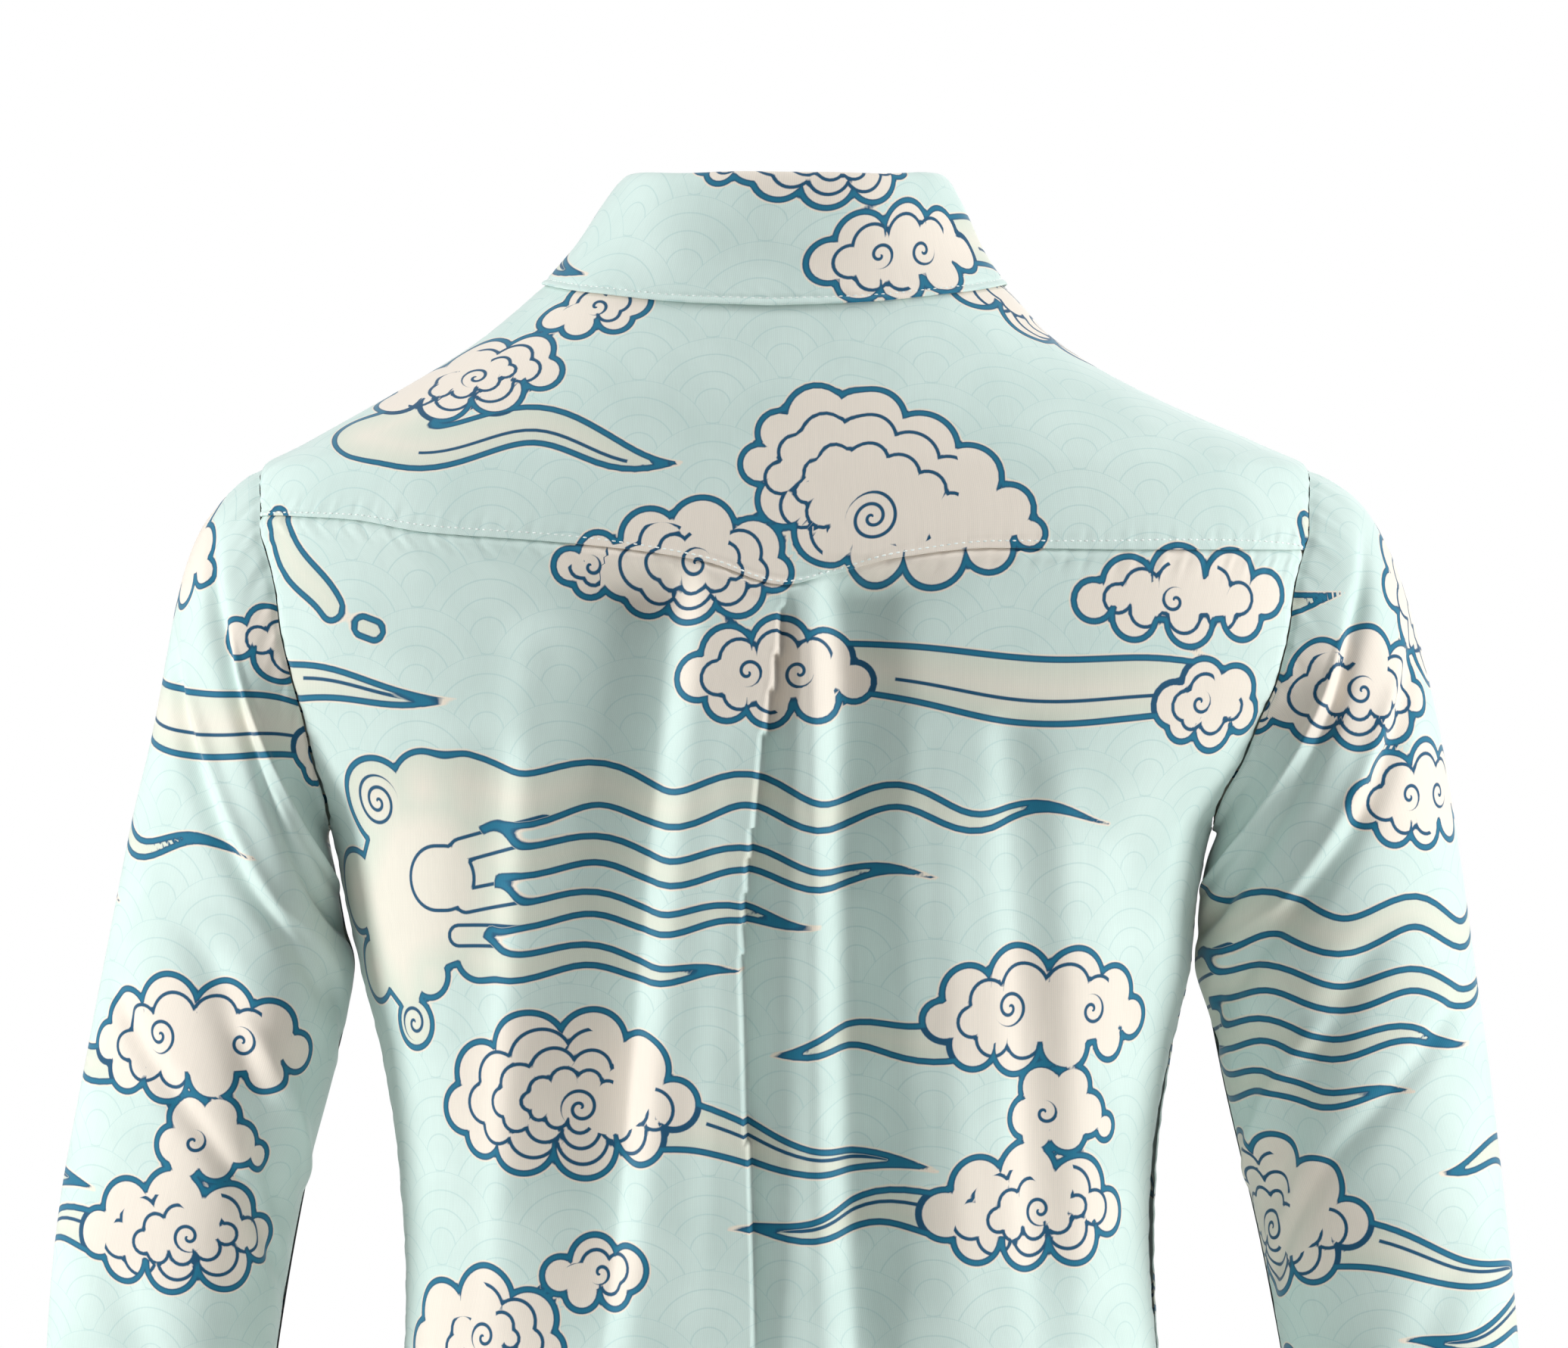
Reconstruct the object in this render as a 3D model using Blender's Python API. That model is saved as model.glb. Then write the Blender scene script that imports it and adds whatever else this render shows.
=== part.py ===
# Long-sleeved golf shirt, filled out as it is worn, with nobody in it.
# The wearer faces -Y. Left and right are the wearer's, so the left sleeve is at +X.
# The origin is the middle of the neck, level with the top of the collar's seam at the sides.
# Sizes and tables are in millimetres and degrees. The meshes are in metres.

import math
from collections import namedtuple

import bmesh
import bpy
import numpy as np
from mathutils import Vector

MM = 0.001

# Cloth
CLOTH = 1.5
CUFF_CLOTH = 2.0
SEAM_GAP = 0.3
LAYER = CLOTH + SEAM_GAP

# Armhole, an oval on the torso round the shoulder's end
ARMHOLE_MID_Z = -168.5
ARMHOLE_HALF_HEIGHT = 78.5
ARMHOLE_BACK_SWING = 28.0
ARMHOLE_FRONT_SWING = 33.0
FRONT_SEAM_STATION = -28.0

# Neck, collar and placket
NECK_SEAM_FORWARD = 24.0
STAND_TOP_HALF_WIDTH = 64.5
STAND_TOP_BACK = 53.0
STAND_TOP_FRONT = 60.0
LEAF_CLEARANCE = 1.8
LEAF_EDGE_AT = 172.0
LEAF_SPREAD_FROM = 100.0
LEAF_TIP_AT = 145.0
PLACKET_HALF_WIDTH = 15.0
PLACKET_COVER = 2.0
PLACKET_HEAD = 1.0
PLACKET_FOOT = 4.0

# Cuffs and buttons
CUFF_HEIGHT = 56.0
BUTTON_RADIUS = 5.5
BUTTON_HEIGHT = 2.2
BUTTON_EDGE = 0.6
BUTTON_SIDES = 16
COLLAR_BUTTON_Z = -54.0
PLACKET_BUTTONS_Z = (-125.0, -195.0)

# Rows below the armhole, where the back and the front meet at the side seams
SIDE_LEVELS = (-268, -296, -330, -372, -420, -474, -534, -600, -668, -738)

# Columns of the back and the yoke, from the centre to the armhole, closest at the pleat
BACK_COLUMNS = (
    *(0, 0.022, 0.048, 0.08, 0.12, 0.165, 0.215, 0.275),
    *(0.345, 0.425, 0.51, 0.61, 0.71, 0.81, 0.905, 1),
)
NECK_COLUMNS = 10
COLUMN_HOLD = 1.5
# Columns of the front, as distances from its centre line and then as shares of the shoulder seam
FRONT_INNER = (0.0, PLACKET_HALF_WIDTH, 34.0, 52.0)
SHOULDER_SHARES = (0, 0.22, 0.44, 0.64, 0.83, 1)

# Stations round the armhole: 0 is its top, 180 the underarm, and the front's are negative
YOKE_FRONT_STATIONS = 2
YOKE_BACK_STATIONS = 5
BACK_STATIONS = 7
FRONT_STATIONS = 8

# Horizontal sections of the torso, with their depths behind and before the neck's axis
Section = namedtuple("Section", "z half_width shift back front square")
TORSO = (
    Section(-740, 183, 0.0, 111, 116, 2.15),
    Section(-680, 181.5, 0.0, 110, 116, 2.15),
    Section(-620, 178, 0.0, 107, 115, 2.15),
    Section(-560, 172, 0.0, 102, 112, 2.15),
    Section(-500, 166.5, 1.0, 97, 109, 2.15),
    Section(-440, 164, 2.0, 95, 108, 2.15),
    Section(-394, 166, 3.0, 98, 112, 2.15),
    Section(-345, 173, 3.5, 104, 119, 2.2),
    Section(-309, 181.5, 4.0, 108, 124, 2.2),
    Section(-275, 187, 6.0, 111, 125, 2.2),
    Section(-247, 193, 6.0, 112.5, 125, 2.2),
    Section(-235, 200, 5.0, 113, 124.5, 2.2),
    Section(-218, 214, 3.0, 113, 123, 2.2),
    Section(-201, 225, 1.5, 112.5, 121, 2.2),
    Section(-180, 237, 0.0, 111.5, 117, 2.2),
    Section(-154, 244, 0.0, 109, 111, 2.15),
    Section(-122, 244, 0.0, 104, 100, 2.1),
    Section(-105, 238, 0.0, 100.5, 92, 2.05),
    Section(-90, 229.5, 0.0, 97, 84, 2.0),
    Section(-78, 207, 1.5, 93.5, 77, 2.0),
    Section(-60, 170.5, 6.0, 88, 66, 2.0),
    Section(-43, 140, 7.6, 81.5, 55, 2.0),
    Section(-30, 121.5, 7.3, 76, 46, 2.0),
    Section(-20, 111, 5.7, 71.5, 39, 2.0),
    Section(-10, 100.5, 4.6, 67, 34, 2.0),
    Section(0, 85.5, 3.0, 62.5, 30, 2.0),
    Section(12, 68, 2.0, 56, 22, 2.0),
)

# The neckline's height round the torso, from the centre back to the centre front
NeckRow = namedtuple("NeckRow", "angle z")
NECK = (
    NeckRow(0, 2),
    NeckRow(45, 3.5),
    NeckRow(90, 6),
    NeckRow(112, 3),
    NeckRow(139, -15),
    NeckRow(156, -40),
    NeckRow(168, -60),
    NeckRow(180, -70),
)

# The collar round the neck, from the centre back: the stand's top, and the leaf's edge on the shirt
CollarRow = namedtuple("CollarRow", "angle top_z edge_z")
COLLAR = (
    CollarRow(0, 33, -20.5),
    CollarRow(30, 33, -19),
    CollarRow(60, 33.5, -14.5),
    CollarRow(90, 33, -10),
    CollarRow(112, 24, -22),
    CollarRow(130, 8, -42),
    CollarRow(150, -16, -70),
    CollarRow(165, -31, -88),
    CollarRow(180, -38, -98),
)
# The leaf's columns, as shares of the way from the centre back to its front end
LEAF_SHARES = (0, 0.1, 0.2, 0.3, 0.4, 0.48, 0.54, 0.6, 0.67, 0.75, 0.83, 0.91, 1)
# The leaf's fold over the stand's top, as steps out and up from it, and its fall to the edge
FoldStep = namedtuple("FoldStep", "out up")
LEAF_FOLD = (FoldStep(0.2, 2.2), FoldStep(1.6, 4.4), FoldStep(4.2, 5.2), FoldStep(6.8, 3.6))
LEAF_FALL = (0.2, 0.42, 0.66, 0.86, 1)
LEAF_BOW = (0.4, -0.4, -1.6, -1.0, 0)

# The seam between the yoke and the back, drawn down by the pleat at the centre
SeamRow = namedtuple("SeamRow", "x z")
YOKE_SEAM = (
    SeamRow(-230, -125.4),
    SeamRow(-150, -125.6),
    SeamRow(-89, -125),
    SeamRow(-50, -129),
    SeamRow(-20, -136),
    SeamRow(0, -141),
    SeamRow(34, -131),
    SeamRow(64, -126),
    SeamRow(103, -122),
    SeamRow(156, -118),
    SeamRow(190, -112.5),
    SeamRow(223, -110.5),
)

YOKE_SEAM_MIDDLE = -122.0

# Soft folds of the body, each along a line from its top to its foot: positive ones stand out
Fold = namedtuple("Fold", "face x_top z_top x_foot z_foot half_width lift")
FOLDS = (
    Fold("back", 8, -141, 12, -330, 9, -6.5),
    Fold("back", 58, -125, 104, -420, 17, -9),
    Fold("back", 40, -140, 66, -420, 14, 3.5),
    Fold("back", -36, -130, -38, -450, 16, -9),
    Fold("back", -14, -160, -14, -450, 12, 3),
    Fold("back", -98, -150, -110, -450, 17, 4.5),
    Fold("back", -118, -165, -128, -380, 13, -4.5),
    Fold("back", 124, -170, 128, -450, 18, 4),
    Fold("front", 74, -150, 92, -470, 20, -6),
    Fold("front", -66, -160, -84, -500, 22, -6),
    Fold("front", 112, -190, 122, -520, 18, 4),
    Fold("front", -106, -170, -112, -450, 18, 4),
)
FOLD_FADE = 70.0
FOLD_OVERRUN = 0.3

# Rings of the sleeves below the armhole. Outer and inner are a ring's two ends as seen from behind
RING_NAMES = "outer_z inner_z left_outer left_inner right_outer right_inner half_depth mid_y carry"
Ring = namedtuple("Ring", RING_NAMES)
SLEEVE = (
    Ring(-102, -249.6, 244.5, 200.3, 249, 189.2, 58, -5, 0.86),
    Ring(-118, -253.0, 256.5, 200.4, 261, 188.0, 59, -5, 0.66),
    Ring(-143, -259.0, 265.5, 198.8, 271.5, 185.8, 60, -5, 0.46),
    Ring(-173, -267.0, 271.5, 196.7, 280, 184.0, 60, -5, 0.28),
    Ring(-207, -278.0, 278, 194.6, 287.5, 182.4, 59.5, -5, 0.14),
    Ring(-243, -291.0, 286.5, 192.2, 293.5, 181.2, 58.5, -5, 0.05),
    Ring(-280, -307.0, 293.7, 188.2, 299, 180.0, 57.5, -5, 0),
    Ring(-312, -331.0, 299.5, 192.2, 303, 186.6, 56.5, -5, 0),
    Ring(-345, -362.0, 305.6, 199.8, 307.5, 193.4, 55.5, -5, 0),
    Ring(-376, -394.0, 311.3, 208.0, 311.8, 200.6, 54.5, -6, 0),
    Ring(-408, -425.0, 316.8, 214.6, 316.0, 207.6, 53.5, -8, 0),
    Ring(-448, -462.0, 321.5, 221.0, 320.5, 215.0, 52, -13, 0),
    Ring(-500, -510.0, 325, 227.5, 324, 223.5, 49.5, -22, 0),
    Ring(-555, -562.0, 326, 233.5, 325, 231.0, 46, -33, 0),
    Ring(-610, -614.0, 324, 239.0, 323, 237.5, 42, -44, 0),
    Ring(-656, -658.0, 320.5, 243.0, 319.5, 242.0, 38, -53, 0),
)
ARMHOLE_HALF_DEPTH = 57.5
ARMHOLE_MID_Y = -4.6

# Soft folds of the sleeves, along a line in station and ring number
SleeveFold = namedtuple("SleeveFold", "station_top ring_top station_foot ring_foot half_width lift")
SLEEVE_FOLDS = (
    SleeveFold(60, 2.5, 150, 5.5, 16, -5),
    SleeveFold(40, 4.5, 140, 7.5, 16, -5),
    SleeveFold(85, 8, 140, 10.5, 16, -4),
    SleeveFold(-50, 3, -140, 6.5, 18, -5),
    SleeveFold(-60, 10, -120, 11.5, 18, -5),
    SleeveFold(70, 12, 120, 14, 16, -3),
)
SLEEVE_FOLD_FADE = 0.3


def through(xs, ys, x):
    """The smooth curve through a table's rows, which never swings past them."""
    xs, ys = np.asarray(xs, float), np.asarray(ys, float)
    step = np.diff(xs)
    slope = np.diff(ys) / step
    tangent = np.zeros_like(ys)
    tangent[0], tangent[-1] = slope[0], slope[-1]
    product = slope[:-1] * slope[1:]
    total = slope[:-1] + slope[1:]
    tangent[1:-1] = np.where(product > 0, 2 * product / np.where(total == 0, 1, total), 0)
    x = np.clip(x, xs[0], xs[-1])
    i = np.clip(np.searchsorted(xs, x, side="right") - 1, 0, len(xs) - 2)
    t = (x - xs[i]) / step[i]
    near = (1 + 2 * t) * (1 - t) ** 2 * ys[i] + t * (1 - t) ** 2 * step[i] * tangent[i]
    far = t * t * (3 - 2 * t) * ys[i + 1] + t * t * (t - 1) * step[i] * tangent[i + 1]
    return near + far


def column(table, x_name, y_name, x):
    xs, ys = ([getattr(row, name) for row in table] for name in (x_name, y_name))
    return through(xs, ys, x)


def torso_size(name, z):
    return column(TORSO, "z", name, z)


def eased(t):
    t = np.clip(t, 0, 1)
    return t * t * (3 - 2 * t)


# The torso. Its angles are 0 at the centre back, 90 at the left side and 180 at the centre front.


def smooth_torso(angle, z):
    """A point of the torso before its folds."""
    turn = np.radians(angle)
    sine, cosine = np.sin(turn), np.cos(turn)
    square = torso_size("square", z)
    swell = (np.abs(sine) ** square + np.abs(cosine) ** square) ** (-1 / square)
    depth = np.where(cosine >= 0, torso_size("back", z), torso_size("front", z))
    x = sideways(z, cosine * swell) + torso_size("half_width", z) * sine * swell
    return np.stack([x, depth * cosine * swell, z + 0 * x], axis=-1)


def sideways(z, depth_share):
    """The torso's shift, which dies away from the sides to the centre front."""
    return torso_size("shift", z) * (1 + np.minimum(depth_share, 0))


def facing(surface, angle, z):
    """The direction out of a surface given as a function of angle and height."""
    around = surface(angle + 0.2, z) - surface(angle - 0.2, z)
    up = surface(angle, z + 0.5) - surface(angle, z - 0.5)
    out = np.cross(up, around)
    return out / np.linalg.norm(out, axis=-1, keepdims=True)


def fold_lift(point, is_back):
    lift = np.zeros(point.shape[:-1])
    for fold in FOLDS:
        on_face = is_back if fold.face == "back" else ~is_back
        along = (fold.z_top - point[..., 2]) / (fold.z_top - fold.z_foot)
        middle = fold.x_top + (fold.x_foot - fold.x_top) * np.clip(along, 0, 1)
        fade = FOLD_FADE / (fold.z_top - fold.z_foot)
        strength = eased(along / fade) * eased((1 + FOLD_OVERRUN - along) / (FOLD_OVERRUN + fade))
        across = (point[..., 0] - middle) / fold.half_width
        lift = lift + np.where(on_face, fold.lift * strength * np.exp(-across * across), 0)
    return lift


def torso(angle, z):
    """A point on the outside of the cloth round the torso."""
    angle, z = np.broadcast_arrays(np.asarray(angle, float), np.asarray(z, float))
    point = smooth_torso(angle, z)
    lift = fold_lift(point, np.cos(np.radians(angle)) >= 0)
    return point + lift[..., None] * facing(smooth_torso, angle, z)


def torso_layer(angle, z, out):
    """A point that lies this far outside the torso's cloth."""
    return torso(angle, z) + out * facing(torso, angle, z)


def on_torso(x, y):
    """The angle and height of the upper torso's point that is above x, y in plan."""
    low, high = -200.0, 12.0
    for _ in range(40):
        z = (low + high) / 2
        depth = torso_size("back" if y >= 0 else "front", z)
        square = torso_size("square", z)
        across = (x - sideways(z, y / depth)) / torso_size("half_width", z)
        outside = abs(across) ** square + (abs(y) / depth) ** square > 1
        low, high = (low, z) if outside else (z, high)
    return math.degrees(math.atan2(across, y / depth)), float(z)


def angle_at(x, z, is_back):
    """The angle of the torso's point with this x on one face."""
    square = torso_size("square", z)
    deep = 1.0 if is_back else -1.0
    for _ in range(8):
        across = np.clip((x - sideways(z, deep)) / torso_size("half_width", z), -1, 1)
        deep = (1 - np.abs(across) ** square) ** (1 / square) * (1 if is_back else -1)
    return np.degrees(np.arctan2(across, deep))


def neck_height(angle):
    return column(NECK, "angle", "z", np.abs(angle))


def armhole(station, side, away=0.0):
    """The angle and height of a point on the armhole, moved this far off its edge onto the body."""
    turn = math.radians(station)
    swing = ARMHOLE_BACK_SWING if station >= 0 else ARMHOLE_FRONT_SWING
    z = ARMHOLE_MID_Z + (ARMHOLE_HALF_HEIGHT + away) * math.cos(turn)
    spread = math.degrees(away * math.sin(turn) / torso_size("half_width", z))
    return side * (90 - swing * math.sin(turn) - spread), z


def seam_station(side):
    """Where the seam of the yoke and the back ends on the armhole."""
    z = YOKE_SEAM[-1].z if side > 0 else YOKE_SEAM[0].z
    return math.degrees(math.acos((z - ARMHOLE_MID_Z) / ARMHOLE_HALF_HEIGHT))


def side_edge(z, side, is_back):
    """The angle of a panel's edge at the side seam."""
    depth = torso_size("back" if is_back else "front", z)
    gap = math.degrees(SEAM_GAP / 2 / depth)
    return side * (90 - gap if is_back else 90 + gap)


def add_wall(name, outer, inner, material, closed=False, keeps=lambda row, col: True):
    """A solid between two grids of points. A closed grid joins its last column to its first."""
    rows, columns = outer.shape[:2]
    spans = columns if closed else columns - 1
    cells = {(r, c) for r in range(rows - 1) for c in range(spans) if keeps(r, c)}
    bm = bmesh.new()
    made = {}

    def corner(r, c, layer):
        key = (r, c % columns, layer)
        if key not in made:
            made[key] = bm.verts.new(Vector((outer, inner)[layer][key[0], key[1]] * MM))
        return made[key]

    for r, c in sorted(cells):
        loop = ((r, c), (r + 1, c), (r + 1, c + 1), (r, c + 1))
        bm.faces.new([corner(*spot, 0) for spot in loop])
        bm.faces.new([corner(*spot, 1) for spot in reversed(loop)])
        beside = ((r, c - 1), (r + 1, c), (r, c + 1), (r - 1, c))
        for edge, (next_r, next_c) in enumerate(beside):
            if (next_r, next_c % spans if closed else next_c) in cells:
                continue
            first, second = loop[edge], loop[(edge + 1) % 4]
            rim = ((second, 0), (first, 0), (first, 1), (second, 1))
            bm.faces.new([corner(*spot, layer) for spot, layer in rim])
    bmesh.ops.recalc_face_normals(bm, faces=bm.faces)
    return add_object(name, bm, material)


def add_object(name, bm, material):
    mesh = bpy.data.meshes.new(name)
    bm.to_mesh(mesh)
    bm.free()
    mesh.materials.append(material)
    mesh.shade_smooth()
    mesh.set_sharp_from_angle(angle=math.radians(40))
    placed = bpy.data.objects.new(name, mesh)
    bpy.context.scene.collection.objects.link(placed)
    return placed


def make_material(name, color, roughness):
    material = bpy.data.materials.new(name)
    material.use_nodes = True
    shader = material.node_tree.nodes["Principled BSDF"]
    shader.inputs["Base Color"].default_value = (*color, 1)
    shader.inputs["Roughness"].default_value = roughness
    shader.inputs["Metallic"].default_value = 0
    return material


# Body panels. A grid of angles and heights becomes a wall of cloth on the torso.


def add_panel(name, angle, z, material, keeps=lambda row, col: True):
    outer = torso(angle, z)
    inner = outer - CLOTH * facing(torso, angle, z)
    return add_wall(name, outer, inner, material, keeps=keeps)


def full_width(half):
    """Both halves of a row, from the right edge to the left, of what is given for one half."""
    return [-value for value in reversed(half[1:])] + list(half)


def back_seam_row():
    """Angles and heights along the seam of the yoke and the back."""
    ends = {side: armhole(seam_station(side), side)[0] * side for side in (-1, 1)}
    angles = [spread(share, ends[1 if share > 0 else -1]) for share in full_width(BACK_COLUMNS)]
    xs = smooth_torso(np.array(angles), np.full(len(angles), YOKE_SEAM_MIDDLE))[:, 0]
    heights = column(YOKE_SEAM, "x", "z", xs)
    heights[0], heights[-1] = (armhole(seam_station(side), side)[1] for side in (-1, 1))
    return np.array(angles), heights


def spread(share, edge_angle):
    """Angle at a share of the back's width. The columns near the centre keep theirs in every row."""
    return 90 * share * (1 - (1 - edge_angle / 90) * abs(share) ** COLUMN_HOLD)


def back_grid():
    shares = np.array(full_width(BACK_COLUMNS))
    seam_angle, seam_z = back_seam_row()
    angles, heights = [], []
    stations = {side: np.linspace(seam_station(side), 180, BACK_STATIONS + 1) for side in (-1, 1)}
    for row in range(BACK_STATIONS + 1 + len(SIDE_LEVELS)):
        edge = {}
        for side in (-1, 1):
            if row <= BACK_STATIONS:
                edge[side] = armhole(stations[side][row], side, SEAM_GAP / 2)
            else:
                z = SIDE_LEVELS[row - BACK_STATIONS - 1]
                edge[side] = (side_edge(z, side, True), z)
            limit = side_edge(edge[side][1], side, True)
            edge[side] = (side * min(abs(edge[side][0]), abs(limit)), edge[side][1])
        level = edge[-1][1] + (edge[1][1] - edge[-1][1]) * (shares + 1) / 2
        fade = 1 - eased(row / (BACK_STATIONS - 1))
        bend = seam_z - (seam_z[0] + (seam_z[-1] - seam_z[0]) * (shares + 1) / 2)
        heights.append(level + fade * bend - (SEAM_GAP / 2 if row == 0 else 0))
        angles.append([spread(share, abs(edge[1 if share > 0 else -1][0])) for share in shares])
    return np.array(angles), np.array(heights)


def neck_corner():
    """The angle on the neckline where the front shoulder seam meets it."""
    low, high = 92.0, 160.0
    for _ in range(40):
        angle = (low + high) / 2
        forward = -smooth_torso(np.array(angle), neck_height(angle))[1]
        low, high = (low, angle) if forward > NECK_SEAM_FORWARD else (angle, high)
    return angle


def in_plan(angle, z):
    return smooth_torso(np.array(angle, float), np.array(z, float))[:2]


def shoulder_seam(share, side):
    """The front shoulder seam, straight in plan from the neck to the armhole."""
    corner = neck_corner()
    ends = ((side * corner, float(neck_height(corner))), armhole(FRONT_SEAM_STATION, side))
    if share in (0, 1):
        return ends[share]
    start, end = (in_plan(*spot) for spot in ends)
    return on_torso(*(start + (end - start) * share))


def moved_back(spot, step=SEAM_GAP / 2):
    """The spot moved towards the back, across the front shoulder seam, by half the seam's gap."""
    x, y = in_plan(*spot)
    return on_torso(x, y + step)


def yoke_stations(side):
    front = np.linspace(FRONT_SEAM_STATION, 0, YOKE_FRONT_STATIONS + 1)
    back = np.linspace(0, seam_station(side), YOKE_BACK_STATIONS + 1)
    return [float(station) for station in np.concatenate([front, back[1:]])]


def yoke_front_edge():
    """The yoke's edge along the right shoulder seam, the neckline and the left shoulder seam."""
    half = len(BACK_COLUMNS) - 1
    edge = []
    for i in range(-half, half + 1):
        side = 1 if i >= 0 else -1
        if abs(i) <= NECK_COLUMNS:
            angle = neck_corner() * abs(i) / NECK_COLUMNS
            edge.append((side * angle, float(neck_height(angle))))
        else:
            edge.append(moved_back(shoulder_seam(SHOULDER_SHARES[abs(i) - NECK_COLUMNS], side)))
    return edge


def yoke_grid():
    """A patch in plan between the front edge, the armholes and the seam behind."""
    seam_angle, seam_z = back_seam_row()
    shares = (np.array(full_width(BACK_COLUMNS)) + 1) / 2
    front = yoke_front_edge()
    behind = list(zip(seam_angle, seam_z + SEAM_GAP / 2))
    right, left = (
        [armhole(station, side, SEAM_GAP / 2) for station in yoke_stations(side)]
        for side in (-1, 1)
    )
    front[0], front[-1] = moved_back(right[0]), moved_back(left[0])
    behind[0], behind[-1] = (right[-1][0], behind[0][1]), (left[-1][0], behind[-1][1])
    plan = [np.array([in_plan(*spot) for spot in edge]) for edge in (front, behind, right, left)]
    rows, columns = len(left), len(shares)
    angles, heights = np.zeros((2, rows, columns))
    for r in range(rows):
        t = r / (rows - 1)
        for c, s in enumerate(shares):
            if r in (0, rows - 1):
                spot = (front, behind)[r > 0][c]
            elif c in (0, columns - 1):
                spot = (right, left)[c > 0][r]
            else:
                along = (1 - t) * plan[0][c] + t * plan[1][c] + (1 - s) * plan[2][r] + s * plan[3][r]
                near = (1 - s) * plan[0][0] + s * plan[0][-1]
                far = (1 - s) * plan[1][0] + s * plan[1][-1]
                spot = on_torso(*(along - (1 - t) * near - t * far))
            angles[r, c], heights[r, c] = spot
    return angles, heights


def neck_angle(x):
    """The angle on the neckline's front at this distance to the left of the centre line."""
    side = 1 if x >= 0 else -1
    low, high = neck_corner(), 180.0
    for _ in range(40):
        angle = (low + high) / 2
        across = side * in_plan(side * angle, neck_height(angle))[0]
        low, high = (low, angle) if across < abs(x) else (angle, high)
    return side * angle


def from_back(angle):
    """An angle of the front, past 180 on the right side, so that a row of them runs one way."""
    return angle % 360


def beyond_neck(share, corner_x, z, edge_angle):
    """The angle at this share of the way from below the neck's corner to the armhole."""
    start = from_back(float(angle_at(corner_x, z, False)))
    return start + share * (from_back(edge_angle) - start)


def front_half(side):
    """Rows of angles and heights from the centre line to one side."""
    corner_x = in_plan(side * neck_corner(), neck_height(neck_corner()))[0]
    seam = [shoulder_seam(share, side) for share in SHOULDER_SHARES]
    stations = np.linspace(FRONT_SEAM_STATION, -180, FRONT_STATIONS + 1)
    edges = [armhole(station, side, SEAM_GAP / 2) for station in stations]
    edges += [(side_edge(z, side, False), z) for z in SIDE_LEVELS]
    start = armhole(FRONT_SEAM_STATION, side)
    rows = []
    for r, (edge_angle, edge_z) in enumerate(edges):
        rise = max(0.0, 1 - r / FRONT_STATIONS)
        limit = side_edge(edge_z, side, False)
        edge_angle = side * max(abs(edge_angle), abs(limit))
        row = []
        for x in FRONT_INNER:
            neck_at = neck_angle(side * x)
            z = edge_z + rise * (float(neck_height(neck_at)) - start[1])
            row.append((neck_at if r == 0 else float(angle_at(side * x, z, False)), z))
        for share, (seam_angle, seam_z) in zip(SHOULDER_SHARES, seam):
            z = edge_z + rise * (seam_z - start[1])
            bend = from_back(seam_angle) - beyond_neck(share, corner_x, seam_z, start[0])
            spot = (beyond_neck(share, corner_x, z, edge_angle) + rise * bend, z)
            row.append(moved_back((seam_angle, seam_z), -SEAM_GAP / 2) if r == 0 else spot)
        rows.append([(from_back(angle), z) for angle, z in row])
    return np.array(rows)


def front_grid():
    right, left = front_half(-1), front_half(1)
    rows = np.concatenate([right[:, :0:-1], left], axis=1)
    return rows[..., 0], rows[..., 1]


# Sleeves and cuffs. Their columns are the armhole's stations, and their rows are rings.


def sleeve_stations(side):
    front = np.linspace(-180, FRONT_SEAM_STATION, FRONT_STATIONS + 1)[:-1]
    back = np.linspace(seam_station(side), 180, BACK_STATIONS + 1)[1:-1]
    return np.concatenate([front, yoke_stations(side), back])


def ring_value(name, ring):
    return through(range(1, len(SLEEVE) + 1), [getattr(row, name) for row in SLEEVE], ring)


def plain_ring(outer_x, outer_z, inner_x, inner_z, half_depth, mid_y, station):
    """An oval ring through an outer and an inner point, as deep as given from front to back."""
    turn = np.radians(station)
    lean = (1 + np.cos(turn)) / 2
    x = inner_x + (outer_x - inner_x) * lean
    z = inner_z + (outer_z - inner_z) * lean
    return np.stack([x, mid_y + half_depth * np.sin(turn), z], axis=-1)


def sleeve_ring(ring, side, stations):
    """One ring of a sleeve. Near the armhole it keeps what sets the armhole apart from an oval."""
    points = np.array([torso(*armhole(float(station), side)) for station in stations])
    if ring == 0:
        return points
    top, foot = (torso(*armhole(station, side)) for station in (0.0, 180.0))
    oval = plain_ring(top[0], top[2], foot[0], foot[2], ARMHOLE_HALF_DEPTH, ARMHOLE_MID_Y, stations)
    name = "left" if side > 0 else "right"
    outer_x, inner_x = (side * ring_value(f"{name}_{end}", ring) for end in ("outer", "inner"))
    ends = (outer_x, ring_value("outer_z", ring), inner_x, ring_value("inner_z", ring))
    own = plain_ring(*ends, ring_value("half_depth", ring), ring_value("mid_y", ring), stations)
    return own + ring_value("carry", ring) * (points - oval)


def sleeve_fold_lift(ring, stations):
    lift = np.zeros(len(stations))
    for fold in SLEEVE_FOLDS:
        along = (ring - fold.ring_top) / (fold.ring_foot - fold.ring_top)
        middle = fold.station_top + (fold.station_foot - fold.station_top) * along
        strength = eased(1 + along / SLEEVE_FOLD_FADE) * eased(1 + (1 - along) / SLEEVE_FOLD_FADE)
        across = (stations - middle) / fold.half_width
        lift += fold.lift * strength * np.exp(-across * across)
    return lift


def tube_facing(points, side):
    """The directions out of a tube of rings, for a wall's thickness."""
    around = np.roll(points, -1, axis=1) - np.roll(points, 1, axis=1)
    out = np.cross(np.gradient(points, axis=0), around) * side
    return out / np.linalg.norm(out, axis=-1, keepdims=True)


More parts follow.
